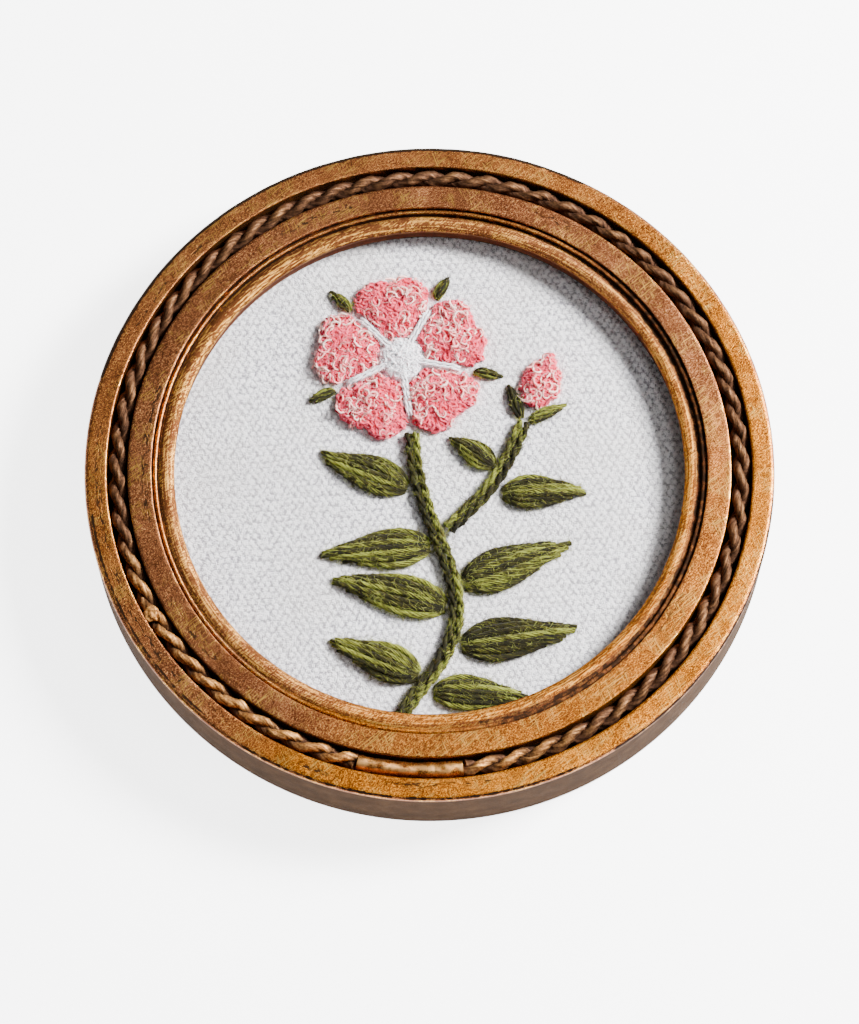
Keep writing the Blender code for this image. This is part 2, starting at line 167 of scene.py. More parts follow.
# Yarns
Yarn = namedtuple(
    "Yarn",
    "step_mm plies ply_radius_mm ply_offset_mm twist_length_mm sides ridges ridge_depth ridge_twist_mm unevenness_mm",
)
CORD_YARN = Yarn(0.45, 2, 0.84, 0.73, 4.0, 18, 4.0, 0.06, 9.0, 0.60)
SLEEVE_YARN = Yarn(0.4, 1, 1.42, 0.0, 4.0, 24, 3.0, 0.03, 60.0, 0.25)
LEAF_YARN = Yarn(0.38, 1, 0.60, 0.0, 4.0, 14, 8.0, 0.07, 9.0, 0.42)
STEM_YARN = Yarn(0.42, 2, 0.42, 0.33, 5.5, 8, 3.0, 0.14, 2.6, 0.3)
RAY_YARN = Yarn(0.3, 2, 0.20, 0.12, 3.2, 8, 3.0, 0.06, 2.5, 0.22)

# Loose fibres: how many stand on a square mm, their size, and how much paler than the yarn they are
Fibres = namedtuple("Fibres", "density length_mm thickness_mm paler seed")
GREEN_FIBRES = Fibres(3.6, 1.1, 0.026, 0.35, 1)
PINK_FIBRES = Fibres(2.7, 0.9, 0.022, 0.12, 1)
EYE_FIBRES = Fibres(3.2, 0.9, 0.022, 0.1, 77)
RAY_FIBRES = Fibres(5.0, 0.8, 0.022, 0.1, 78)

# Curled loops: how far apart they stand, the shape of one, its thread, and the span of their tones
Loops = namedtuple(
    "Loops",
    "spacing_mm turns inner_radius_mm outer_radius_mm rise_mm thread_mm tilt "
    "darkest palest unevenness_mm clustering seed",
)
PINK_PILE = Loops(0.68, 0.9, 0.35, 0.66, 0.12, 0.25, 0.28, 0.20, 0.46, 0.55, 0.0, 1)
PINK_CURLS = Loops(0.90, 0.75, 0.70, 1.05, 0.55, 0.19, 0.45, 0.66, 0.98, 0.55, 1.0, 1)
WHITE_KNOTS = Loops(0.65, 1.1, 0.30, 0.60, 0.08, 0.25, 0.25, 0.6, 1.0, 0.4, 0.0, 3)
CURLS_SEED = 20
FIBRES_SEED = 40

# Dark marks on the gilding: angles, radius and half width in mm, strength
Mark = namedtuple("Mark", "start end radius spread strength")
MARKS = (
    Mark(62, 165, 59.62, 0.50, 0.92),
    Mark(236, 296, 59.65, 0.40, 0.60),
    Mark(188, 232, 59.10, 0.40, 0.72),
    Mark(300, 356, 59.85, 0.25, 0.70),
    Mark(161, 192, 49.50, 0.80, 0.75),
    Mark(103, 122, 50.60, 0.80, 0.60),
    Mark(60, 69, 51.00, 0.90, 0.60),
    Mark(246, 254, 58.00, 0.60, 0.60),
    Mark(172, 228, 57.60, 0.80, 0.60),
    Mark(262, 283, 57.30, 0.60, 0.50),
    Mark(24, 38, 57.00, 0.50, 0.40),
    Mark(318, 334, 49.40, 0.50, 0.40),
    Mark(132, 156, 57.50, 0.60, 0.50),
    Mark(205, 228, 50.80, 0.80, 0.50),
)
MARK_ENDS = 3

# The camera, as a small product shot from high in front
CAMERA_AWAY = 0.67
CAMERA_ELEVATION = 71.0
CAMERA_DIP = 0.704
LENS_MM = 135.6

# The lamps: direction from the frame, distance and size in metres, power in watts
Lamp = namedtuple("Lamp", "name azimuth elevation away size power")
LAMPS = (
    Lamp("key", 21.0, 37.0, 0.75, 0.24, 33.0),
    Lamp("softbox", 345.0, 68.0, 0.9, 0.28, 2.0),
    Lamp("fill", 190.0, 38.0, 0.9, 0.5, 0.5),
)


def heading_vector(degrees):
    angle = math.radians(degrees)
    return Vector((math.cos(angle), math.sin(angle)))


def to_the_left(heading):
    return Vector((-heading.y, heading.x))


def raised(spot, height):
    return Vector((spot.x, spot.y, height))


def ease(low, high, value):
    """Runs smoothly from 0 at low to 1 at high."""
    share = min(max((value - low) / (high - low), 0.0), 1.0)
    return share * share * (3.0 - 2.0 * share)


def bell(value, middle, spread):
    """1 at the middle, falling smoothly away on both sides of it."""
    return math.exp(-(((value - middle) / spread) ** 2))


def towards(angle, heading):
    """1 on the side of the ring that a heading points to, and 0 on the other."""
    return 0.5 + 0.5 * math.cos(math.radians(angle - heading))


def scatter(*key):
    """A fixed random number from 0 to 1 for a few whole numbers."""
    mixed = sum(number * factor for number, factor in zip(key, (12.9898, 78.233, 37.719)))
    return math.modf(abs(math.sin(mixed)) * 43758.5453)[0]


def srgb(hex_colour):
    """The linear colour of an sRGB hex value."""
    channels = [int(hex_colour[i : i + 2], 16) / 255 for i in (0, 2, 4)]
    return [c / 12.92 if c <= 0.04045 else ((c + 0.055) / 1.055) ** 2.4 for c in channels] + [1.0]


def fill(tree, node, *values):
    """Fills a node's open inputs in order, and by name from a dict.

    An input takes a value, or the node or the output that feeds it. A colour is an sRGB hex value.
    """
    open_inputs = [socket for socket in node.inputs if socket.enabled]
    pairs = []
    for place, value in enumerate(values):
        if isinstance(value, dict):
            pairs += [(node.inputs[key], each) for key, each in value.items()]
        else:
            pairs.append((open_inputs[place], value))
    for socket, value in pairs:
        if isinstance(value, bpy.types.Node):
            value = next(output for output in value.outputs if output.enabled)
        if isinstance(value, bpy.types.NodeSocket):
            tree.links.new(value, socket)
        elif socket.type == "RGBA" and isinstance(value, str):
            socket.default_value = srgb(value)
        else:
            socket.default_value = value
    return node


def add(tree, kind, *values, stops=None, **settings):
    """Adds a node with its settings, its colour stops and what feeds it."""
    node = tree.nodes.new(kind)
    for name, value in settings.items():
        setattr(node, name, value)
    if stops:
        elements = node.color_ramp.elements
        while len(elements) < len(stops):
            elements.new(0.5)
        for element, (share, colour) in zip(elements, stops.items()):
            element.position = share
            element.color = srgb(colour)
    return fill(tree, node, *values)


# Materials

MATHS = "ShaderNodeMath"
VECTOR = "ShaderNodeVectorMath"
SPLIT = "ShaderNodeSeparateXYZ"
COMBINE = "ShaderNodeCombineXYZ"
NOISE = "ShaderNodeTexNoise"
LEVEL = "ShaderNodeMapRange"
BLEND = "ShaderNodeMix"
RAMP = "ShaderNodeValToRGB"
PAINTED = "ShaderNodeAttribute"


def new_material(name, constants):
    made = bpy.data.materials.new(name)
    made.use_nodes = True
    tree = made.node_tree
    shader = fill(tree, tree.nodes["Principled BSDF"], constants)
    return made, tree, shader, add(tree, "ShaderNodeTexCoord").outputs["Object"]


def surface(tree, shader, colour, height, depth_mm, strength):
    """Gives a shader its colour, and relief of a depth from a height pattern."""
    relief = add(tree, "ShaderNodeBump", {"Height": height, "Distance": depth_mm * MM, "Strength": strength})
    fill(tree, shader, {"Base Color": colour, "Normal": relief})


def weighted(tree, *shares):
    """The sum of several values, each with its own weight."""
    total = 0.0
    for value, weight in shares:
        total = add(tree, MATHS, value, weight, total, operation="MULTIPLY_ADD")
    return total


def streaks(tree, vector, heading, along, across, detail):
    """Noise drawn out along a heading to streaks of that length and width."""
    place = {"Vector": vector, "Rotation": (0.0, 0.0, math.radians(heading)), "Scale": (along, across, across)}
    turned_place = add(tree, "ShaderNodeMapping", place, vector_type="TEXTURE")
    return add(tree, NOISE, {"Vector": turned_place, "Scale": 1.0, "Detail": detail})


def round_ring(tree, coords, along, across, detail):
    """Noise drawn out round the ring to marks of that length and width, with no seam."""
    flat = add(tree, VECTOR, coords, (1.0, 1.0, 0.0), operation="MULTIPLY")
    heading = add(tree, VECTOR, flat, operation="NORMALIZE")
    heading = add(tree, VECTOR, heading, OUTER / along, operation="SCALE")
    radius = add(tree, VECTOR, flat, operation="LENGTH").outputs["Value"]
    outwards = add(tree, COMBINE, {"Z": add(tree, MATHS, radius, across, operation="DIVIDE")})
    place = add(tree, VECTOR, heading, outwards, operation="ADD")
    return add(tree, NOISE, {"Vector": place, "Scale": 1.0, "Detail": detail})


def crooked_lines(tree, coords):
    """Thin dark lines that wander round the ring, as wax leaves them in old scratches."""
    meander = round_ring(tree, coords, 4.0 * MM, 1.0 * MM, 3.0)
    off_line = add(tree, MATHS, add(tree, MATHS, meander, 0.5, operation="SUBTRACT"), operation="ABSOLUTE")
    return add(tree, LEVEL, off_line, 0.050, 0.020)


def gilt_material():
    """Gold leaf over brown clay, rubbed back: satin metal, grainy, scratched two ways, with dark wax in its hollows.
    It also carries painted light and shade from the frame's values: painted shadow in the groove by the bead, brighter
    gold towards the lower right, and a painted highlight on the sleeve's top.

    Real grain and scratches are too fine to show here, so they are drawn about 0.15 mm wide, as coarse as they need.
    """
    made, tree, shader, coords = new_material("rubbed_gold_leaf", {"Roughness": 0.42, "Metallic": 1.0})
    patches, smudges, grain, where, edges, spots, mottle = (
        add(tree, NOISE, {"Vector": coords, "Scale": 1.0 / (size_mm * MM), "Detail": detail})
        for size_mm, detail in ((7.0, 4.0), (1.6, 3.0), (0.18, 2.0), (4.5, 3.0), (1.3, 6.0), (0.8, 5.0), (3.0, 5.0))
    )
    strokes, fine, cross, short = (
        streaks(tree, coords, heading, length_mm * MM, width_mm * MM, detail)
        for heading, length_mm, width_mm, detail in (
            (47.0, 0.6, 0.14, 2.0),
            (40.0, 3.4, 0.17, 2.0),
            (112.0, 2.6, 0.16, 2.0),
            (38.0, 1.3, 0.20, 3.0),
        )
    )
    wax_and_shade, scuff, glaze_and_shade, wall, bead, wear_and_light, rub_and_highlight = (
        add(tree, PAINTED, attribute_name=name).outputs["Fac"]
        for name in ("wax_and_shade", "scuff", "glaze_and_shade", "wall", "bead", "wear_and_light", "rub_and_highlight")
    )
    # The leaf: dull bronze where it keeps its wax, and bright gold where it is worn clean. The wear value also carries
    # painted light: brighter towards the lower right, and painted shade on the bead at the upper left and away from
    # the key lamp.
    mixed = weighted(tree, (patches, 0.35), (smudges, 0.15), (grain, 1.50), (strokes, 0.95), (wear_and_light, 0.30))
    tone = add(tree, LEVEL, mixed, 1.15, 2.17)
    bronze = add(tree, RAMP, tone, stops={0.22: "502D18", 0.42: "875233", 0.58: "B4754A", 0.74: "E2A466"})
    bright = add(tree, RAMP, tone, stops={0.22: "4E2A0E", 0.42: "7F4513", 0.58: "B2681B", 0.74: "EC9B2C"})
    gold = add(tree, BLEND, add(tree, LEVEL, wear_and_light, 0.22, 0.52), bronze, bright, data_type="RGBA")
    # Scratches, in patches on the flats and all along the bead
    reeds = round_ring(tree, coords, 8.0 * MM, 0.26 * MM, 2.0)
    turned_lines = weighted(tree, (short, 0.60), (reeds, 0.60))
    hatch = add(tree, MATHS, add(tree, LEVEL, turned_lines, 0.63, 0.69, 0.0, 0.7), bead, operation="MULTIPLY")
    hollow = add(tree, MATHS, add(tree, LEVEL, turned_lines, 0.60, 0.53, 0.0, 0.8), bead, operation="MULTIPLY")
    long_lines = add(tree, LEVEL, fine, 0.57, 0.65)
    lines = add(tree, MATHS, long_lines, add(tree, LEVEL, cross, 0.59, 0.68), operation="MAXIMUM")
    lines = add(tree, MATHS, lines, add(tree, LEVEL, where, 0.47, 0.57), operation="MULTIPLY")
    lines = add(tree, MATHS, lines, hatch, operation="MAXIMUM")
    # Rubbed gilding with a painted highlight, on the sleeve's top
    rubbed_and_highlit = add(tree, MATHS, rub_and_highlight, add(tree, LEVEL, smudges, 0.38, 0.58), operation="MULTIPLY")
    # Dark wax, old scratches and flecks, with the painted shadow in the groove by the bead carried in the wax value
    wax_and_shade_mask = add(tree, LEVEL, weighted(tree, (wax_and_shade, 1.0), (edges, 0.80), (cross, 0.30), (fine, 0.15)), 1.06, 1.20)
    old_scratches = add(tree, MATHS, scuff, crooked_lines(tree, coords), operation="MULTIPLY")
    flecks = add(tree, LEVEL, spots, 0.68, 0.73, 0.0, 0.7)
    dark = add(tree, MATHS, add(tree, MATHS, wax_and_shade_mask, old_scratches, operation="MAXIMUM"), flecks, operation="MAXIMUM")
    # Brown glaze under the lip, with the painted shadow in the groove by the bead, and plain paint on the outer wall
    # and the back
    brown = add(tree, RAMP, weighted(tree, (patches, 0.5), (grain, 0.5)), stops={0.35: "3C2015", 0.65: "623A29"})
    paint_tone = weighted(tree, (mottle, 0.7), (grain, 0.3))
    side = add(tree, RAMP, paint_tone, stops={0.3: "302217", 0.5: "3A291C", 0.7: "453222"})
    colour = gold
    for share, over in (
        (lines, "EEB254"),
        (hollow, "613A1E"),
        (rubbed_and_highlit, "FFC074"),
        (glaze_and_shade, brown),
        (dark, "2C1D13"),
        (wall, side),
    ):
        colour = add(tree, BLEND, share, colour, over, data_type="RGBA")
    plain = add(tree, MATHS, wall, glaze_and_shade, operation="MAXIMUM")
    covered = add(tree, MATHS, dark, plain, operation="MAXIMUM")
    dulled = weighted(tree, (covered, 1.0), (lines, -0.4), (bead, 1.0))
    gloss = {
        "Metallic": add(tree, LEVEL, plain, 0.0, 1.0, 1.0, 0.0),
        "Specular IOR Level": add(tree, LEVEL, plain, 0.0, 0.3, 0.5, 0.008),
        "Roughness": add(tree, LEVEL, dulled, -0.4, 1.0, 0.30, 0.70),
    }
    fill(tree, shader, gloss)
    height = weighted(tree, (fine, 0.4), (cross, 0.3), (grain, 0.8), (strokes, 0.6), (smudges, 0.4), (dark, -0.3))
    surface(tree, shader, colour, height, 0.05, 0.9)
    return made


def fibre_noise(tree, around, along_per_mm):
    """Noise drawn out along a yarn, from the place round it and the distance along it that its points carry.

    Real fibres are too fine to show here, so they are drawn as coarse as they need.
    """
    place_round = add(tree, PAINTED, attribute_name="round").outputs["Vector"]
    place_round = add(tree, VECTOR, place_round, around, operation="SCALE")
    along = add(tree, PAINTED, attribute_name="along").outputs["Fac"]
    lengthwise = add(tree, COMBINE, {"Z": add(tree, MATHS, along, along_per_mm * 0.1 / MM, operation="MULTIPLY")})
    spot = add(tree, VECTOR, place_round, lengthwise, operation="ADD")
    return add(tree, NOISE, {"Vector": spot, "Scale": 1.0, "Detail": 3.0})


def cord_material():
    """Twisted cord dipped in bronze gilding: dark between its fibres, brighter on top where it is rubbed and where a
    painted highlight lies, and darker low in its channel as painted shade.
    """
    made, tree, shader, coords = new_material("bronzed_twisted_cord", {"Roughness": 0.6, "Metallic": 0.93})
    fibres = fibre_noise(tree, 2.6, 3.0)
    grain, patches = (
        add(tree, NOISE, {"Vector": coords, "Scale": 1.0 / (size_mm * MM), "Detail": 4.0}) for size_mm in (0.4, 4.0)
    )
    tone = weighted(tree, (fibres, 0.6), (grain, 0.4))
    base = add(tree, RAMP, tone, stops={0.34: "281A11", 0.44: "402A1E", 0.54: "543827", 0.68: "694834"})
    bright = add(tree, RAMP, tone, stops={0.34: "5C381E", 0.48: "A4713C", 0.62: "E8B065"})
    high = add(tree, SPLIT, coords).outputs["Z"]
    # Brighter on top where the rub value allows: rubbed gilding with a painted highlight
    rubbed_and_highlit = add(tree, LEVEL, high, 13.9 * MM, 14.9 * MM)
    rubbed_and_highlit = add(tree, MATHS, rubbed_and_highlit, add(tree, LEVEL, patches, 0.38, 0.60, 0.35, 1.0), operation="MULTIPLY")
    rub_and_highlight = add(tree, PAINTED, attribute_name="rub_and_highlight").outputs["Fac"]
    rubbed_and_highlit = add(tree, MATHS, rubbed_and_highlit, rub_and_highlight, operation="MULTIPLY", use_clamp=True)
    # Painted shade: the cord darkens low down in its channel
    shade = add(tree, LEVEL, high, 13.5 * MM, 12.5 * MM)
    colour = add(tree, BLEND, rubbed_and_highlit, base, bright, data_type="RGBA")
    colour = add(tree, BLEND, shade, colour, "26180F", data_type="RGBA")
    fill(tree, shader, {"Roughness": add(tree, LEVEL, fibres, 0.3, 0.7, 0.80, 0.60)})
    surface(tree, shader, colour, weighted(tree, (fibres, 0.6), (grain, 0.6)), 0.13, 0.8)
    return made


def linen_material():
    """Plain woven linen: matte, with soft round threads over and under each other and small shadows between them."""
    made, tree, shader, coords = new_material("plain_woven_linen", {"Roughness": 0.92, "Sheen Weight": 0.1})
    sway, fuzz, slub, tint = (
        add(tree, NOISE, {"Vector": coords, "Scale": 1.0 / (size_mm * MM), "Detail": detail})
        for size_mm, detail in ((4.0, 3.0), (0.22, 2.0), (1.0, 3.0), (14.0, 3.0))
    )
    centred = add(tree, VECTOR, sway.outputs["Color"], (0.5, 0.5, 0.5), operation="SUBTRACT")
    wavy = add(tree, VECTOR, coords, add(tree, VECTOR, centred, 0.9 * MM, operation="SCALE"), operation="ADD")
    place = {"Vector": wavy, "Rotation": (0.0, 0.0, math.radians(CLOTH_TURN)), "Scale": (WARP, WEFT, 1.0)}
    threads = add(tree, SPLIT, add(tree, "ShaderNodeMapping", place, vector_type="TEXTURE"))
    across_turns = add(tree, MATHS, threads.outputs["X"], math.pi, operation="MULTIPLY")
    up_turns = add(tree, MATHS, threads.outputs["Y"], math.pi, operation="MULTIPLY")
    row_turns = add(tree, MATHS, up_turns, 2.0, operation="MULTIPLY")
    across, up, rows = (add(tree, MATHS, turns, operation="COSINE") for turns in (across_turns, up_turns, row_turns))
    over = add(tree, MATHS, across, up, operation="MULTIPLY")
    mixed = weighted(tree, (over, 0.32), (rows, 0.10), (fuzz, 2.2), (slub, 2.0))
    weave = add(tree, LEVEL, mixed, 1.62, 2.46)
    colour = add(tree, RAMP, weave, stops={0.0: "8A878E", 0.3: "BCBABF", 0.6: "DCDADE", 1.0: "F2F0F2"})
    colour = add(tree, BLEND, add(tree, LEVEL, tint, 0.35, 0.65, 0.0, 0.30), colour, "CFC9C2", data_type="RGBA")
    surface(tree, shader, colour, weave, 0.16, 0.9)
    return made


def wool_material(name, stops, contrast, sheen):
    """Dyed wool: matte and a little see-through, with a soft bloom at its edges and fine fibres along each strand."""
    constants = {
        "Roughness": 0.9,
        "Specular IOR Level": 0.15,
        "Sheen Weight": sheen,
        "Sheen Roughness": 0.5,
        "Subsurface Weight": 0.3,
        "Subsurface Radius": (1.0, 0.6, 0.6),
        "Subsurface Scale": 0.5 * MM,
    }
    made, tree, shader, coords = new_material(name, constants)
    fibres = fibre_noise(tree, 3.2, 3.0)
    speck = add(tree, NOISE, {"Vector": coords, "Scale": 1.0 / (0.40 * MM), "Detail": 4.0})
    shade = add(tree, PAINTED, attribute_name="tone").outputs["Fac"]
    streak = add(tree, LEVEL, fibres, 0.4, 0.6, -contrast, contrast)
    tone = weighted(tree, (shade, 1.0), (streak, 1.0), (add(tree, LEVEL, speck, 0.3, 0.7, -0.12, 0.12), 1.0))
    colour = add(tree, RAMP, tone, stops=stops)
    surface(tree, shader, colour, weighted(tree, (fibres, 1.0), (speck, 0.6)), 0.14, 0.9)
    return made


def board_material():
    """Grey-brown board: matte, with short pressed fibres."""
    made, tree, shader, coords = new_material("pressed_backing_board", {"Roughness": 0.85})
    fibres = streaks(tree, coords, 12.0, 3.0 * MM, 0.4 * MM, 4.0)
    colour = add(tree, RAMP, fibres, stops={0.3: "745A40", 0.5: "8A6B4C", 0.7: "A3835F"})
    surface(tree, shader, colour, fibres, 0.08, 0.6)
    return made


def floor_material():
    """Pale acrylic sweep, smooth and matte, lit a little from below: an even, almost white ground."""
    constants = {"Roughness": 0.9, "Emission Color": "FFFFFF", "Emission Strength": 4.2}
    made, tree, shader, coords = new_material("pale_acrylic_sweep", constants)
    clouds = add(tree, NOISE, {"Vector": coords, "Scale": 1.0 / 0.2, "Detail": 3.0})
    fill(tree, shader, {"Base Color": add(tree, RAMP, clouds, stops={0.3: "F6F6F6", 0.7: "F9F9F9"})})
    return made


# Meshes that follow a formula


def new_piece(name, data):
    piece = bpy.data.objects.new(name, data)
    bpy.context.scene.collection.objects.link(piece)
    return piece


def point_values(mesh, *names):
    """New values on a mesh's points, one list for each name."""
    for name in names:
        mesh.attributes.new(name, "FLOAT", "POINT")
    return [mesh.attributes[name].data for name in names]


def paint(piece, names, values_at):
    """Paints named values on a piece. values_at(spot, radius, angle) gives them in order, by the place on the ring."""
    layers = point_values(piece.data, *names)
    for index, vert in enumerate(piece.data.vertices):
        radius = math.hypot(vert.co.x, vert.co.y)
        angle = math.degrees(math.atan2(vert.co.y, vert.co.x)) % 360.0
        for layer, value in zip(layers, values_at(vert.co, radius, angle)):
            layer[index].value = value


def plain_mesh(name, source):
    """What a source object looks like with its modifiers, as a plain mesh piece. The source is removed."""
    depsgraph = bpy.context.evaluated_depsgraph_get()
    mesh = bpy.data.meshes.new_from_object(
        source.evaluated_get(depsgraph), preserve_all_data_layers=True, depsgraph=depsgraph
    )
    mesh.name = name
    bpy.data.objects.remove(source, do_unlink=True)
    return new_piece(name, mesh)


def turned(name, profile, steps, closed):
    """A section of (radius, height) points turned round Z. It runs down the outer side of the piece."""
    mesh = bpy.data.meshes.new(name + "_section")
    points = [(radius, 0.0, height) for radius, height in profile]
    edges = [(i, i + 1) for i in range(len(points) - 1)]
    if closed:
        edges.append((len(points) - 1, 0))
    mesh.from_pydata(points, edges, [])
    source = new_piece(name + "_source", mesh)
    screw = source.modifiers.new("turning", "SCREW")
    screw.steps = steps
    screw.render_steps = steps
    screw.use_merge_vertices = True
    screw.merge_threshold = 0.01 * MM
    return plain_mesh(name, source)


def coat(piece, material, sharp_angle):
    """Gives a turned piece its material, smooth but for edges that are sharper than an angle."""
    mesh = piece.data
    mesh.materials.clear()
    mesh.materials.append(material)
    mesh.shade_smooth()
    mesh.set_sharp_from_angle(angle=math.radians(sharp_angle))
    return piece


def arc(radius, height, size, start, end, count):
    """Points of an arc of a section. Its angles run from 0 outwards to 90 up."""
    points = []
    for i in range(count):
        angle = math.radians(start + (end - start) * i / (count - 1))
        points.append((radius + size * math.cos(angle), height + size * math.sin(angle)))
    return points


def run(start, end, count):
    """Evenly spaced points from start up to, but not at, end."""
    return [tuple(a + (b - a) * i / count for a, b in zip(start, end)) for i in range(count)]


def moulding():
    """The frame's section."""
    edge = 0.7 * MM
    small = 0.25 * MM
    foot = 0.4 * MM
    cove = 0.9 * MM
    points = arc(OUTER - edge, FACE - edge, edge, 90, 0, 7)
    points += run((OUTER, FACE - 1.2 * MM), (OUTER, foot), 10)
    points += run((OUTER, foot), (OUTER - foot, 0.0), 1)
    points += run((OUTER - foot, 0.0), (RABBET + foot, 0.0), 5)
    points += run((RABBET + foot, 0.0), (RABBET, foot), 1)
    points += run((RABBET, foot), (RABBET, LEDGE), 4)
    points += run((RABBET, LEDGE), (WALL_FOOT, LEDGE), 2)
    points += run((WALL_FOOT, LEDGE), (LIP, BEAD_FOOT), 6)
    points.append((LIP + 0.03 * MM, BEAD_FOOT + 0.28 * MM))
    points += arc(BEAD_MIDDLE, BEAD_LEVEL, BEAD_ROUND, 127, 55, 16)
    points.append((REED - 0.47 * MM, REED_LEVEL - 0.55 * MM))
    points += arc(REED, REED_LEVEL, REED_ROUND, 200, 15, 9)
    points.append((REED + 0.46 * MM, REED_LEVEL + 0.10 * MM))
    points.append((STEP - 0.06 * MM, FACE - 0.45 * MM))
    points += arc(STEP + 0.1 * MM, FACE - 0.2 * MM, 0.2 * MM, 180, 90, 4)
    points += run((STEP + 0.5 * MM, FACE), (CHANNEL_INNER - small, FACE), 10)
    points += arc(CHANNEL_INNER - small, FACE - small, small, 90, 0, 4)
    points += run((CHANNEL_INNER, FACE - 0.7 * MM), (CHANNEL_INNER, CHANNEL_FLOOR + cove), 4)
    points += arc(CHANNEL_INNER + cove, CHANNEL_FLOOR + cove, cove, 180, 270, 6)
    points += arc(CHANNEL_OUTER - cove, CHANNEL_FLOOR + cove, cove, 270, 360, 6)
    points += run((CHANNEL_OUTER, CHANNEL_FLOOR + cove + 0.3 * MM), (CHANNEL_OUTER, FACE - 0.5 * MM), 4)
    points += arc(CHANNEL_OUTER + small, FACE - small, small, 180, 90, 4)
    points += run((CHANNEL_OUTER + 0.6 * MM, FACE), (OUTER - edge, FACE), 8)
    return points


def mark_at(angle, radius):
    """How strongly the dark marks of the table show at a place on the gilding."""
    strongest = 0.0
    for mark in MARKS:
        inside = ease(mark.start - MARK_ENDS, mark.start + MARK_ENDS, angle)
        inside *= ease(mark.end + MARK_ENDS, mark.end - MARK_ENDS, angle)
        strongest = max(strongest, mark.strength * inside * bell(radius / MM, mark.radius, mark.spread))
    return strongest


def gilding_at(spot, radius, angle):
    """The wax with painted shadow, old scratches, glaze with painted shadow, plain paint, bead, and wear with painted
    light at a place on the frame.
    """
    channel = ease(CHANNEL_INNER - 0.05 * MM, CHANNEL_INNER + 0.2 * MM, radius)
    channel *= ease(CHANNEL_OUTER + 0.05 * MM, CHANNEL_OUTER - 0.2 * MM, radius)
    channel *= ease(FACE - 0.15 * MM, FACE - 1.2 * MM, spot.z)
    corner = max(bell(radius, at, 0.18 * MM) for at in (REED - 0.44 * MM, STEP - 0.14 * MM))
    corner *= ease(FACE - 0.1 * MM, FACE - 0.4 * MM, spot.z)
    inner = ease(LIP + 0.9 * MM, LIP + 0.3 * MM, radius) * ease(BEAD_FOOT + 0.2 * MM, BEAD_FOOT - 0.1 * MM, spot.z)
    marks = mark_at(angle, radius) if spot.z > FACE - 1.0 * MM else 0.0
    at_edge = ease(58.6 * MM, 59.0 * MM, radius)
    # Painted shadow: on the side towards the key lamp, the step's edge shades the groove between it and the bead. It
    # darkens the wax and the glaze values there.
    shaded_groove = ease(46.0 * MM, 46.7 * MM, radius) * ease(48.6 * MM, 48.3 * MM, radius)
    shaded_groove *= ease(0.0, 0.6, math.cos(math.radians(angle - 345.0)))
    outside = ease(OUTER - 0.25 * MM, OUTER - 0.02 * MM, radius) * ease(FACE - 0.5 * MM, FACE - 0.9 * MM, spot.z)
    bead = ease(47.3 * MM, 46.9 * MM, radius) * ease(BEAD_FOOT, BEAD_FOOT + 0.4 * MM, spot.z)
    inner_flat = ease(48.2 * MM, 48.5 * MM, radius) * ease(CHANNEL_OUTER, CHANNEL_INNER, radius)
    rim = ease(59.4 * MM, 59.8 * MM, radius)
    dull_spot = bell(angle, 224.0, 20.0)
    upper_left = bell(angle, 135.0, 45.0)
    upper_right = bell(angle, 45.0, 28.0)
    # Painted light: the gilding is brighter towards the lower right, where it catches the lamps. It is darker at about
    # 224 degrees, round the rim, and on the inner flat, most at the upper right.
    wear_and_light = 0.30 + 0.40 * towards(angle, 305.0) - 0.30 * dull_spot - 0.60 * rim
    wear_and_light -= inner_flat * (0.22 + 0.26 * upper_right)
    # Painted shade: the bead is darker at the upper left and on the side away from the key lamp.
    wear_and_light -= bead * (0.10 + 0.50 * upper_left + 0.25 * (1.0 - towards(angle, 330.0)))
    wax_and_shade = max(channel, 0.68 * corner, 0.54 * shaded_groove, marks * at_edge)
    scuff = min(1.0, 2.0 * marks * (1.0 - at_edge))
    return wax_and_shade, scuff, max(inner, 0.85 * shaded_groove), max(outside, ease(LEDGE + 0.3 * MM, LEDGE, spot.z)), bead, wear_and_light


def make_frame(material):
    """The turned frame, a little uneven as hand gilding leaves it, with its wax, its wear, and painted light and shade
    on its sides.
    """
    piece = turned("gilt_frame", moulding(), RING_STEPS, True)
    paint(piece, ("wax_and_shade", "scuff", "glaze_and_shade", "wall", "bead", "wear_and_light"), gilding_at)
    for vert in piece.data.vertices:
        spot = vert.co.copy()
        if spot.z > TRUE_FOOT:
            swell = noise.noise(spot * (1.0 / SWELL_LENGTH)) * SWELL_HEIGHT
            nick = noise.noise(spot * (1.0 / NICK_LENGTH) + Vector((7.0, 3.0, 1.0))) * NICK_DEPTH
            vert.co.z += min(swell + nick, HIGHEST_SWELL)
            shift = abs(nick) * 1.2 / math.hypot(spot.x, spot.y)
            vert.co.x -= spot.x * shift
            vert.co.y -= spot.y * shift
    return coat(piece, material, 42)


def make_cloth(material):
    """The stretched cloth, puckered a little near its rim, where the frame holds it."""
    ring_gap = 0.9 * MM
    top = [(ring_gap * i, CLOTH_TOP) for i in range(int(CLOTH_RADIUS / ring_gap))]
    profile = top + [(CLOTH_RADIUS, CLOTH_TOP), (CLOTH_RADIUS, CLOTH_FOOT), (0.0, CLOTH_FOOT)]
    piece = turned("stretched_linen", profile, 180, False)
    for vert in piece.data.vertices:
        if vert.co.z > CLOTH_TOP - 0.1 * MM:
            inside = ease(CLOTH_RADIUS, CLOTH_RADIUS - 5.0 * MM, math.hypot(vert.co.x, vert.co.y))
            vert.co.z += inside * CLOTH_PUCKER * noise.noise(vert.co * (1.0 / PUCKER_LENGTH))
    return coat(piece, material, 50)


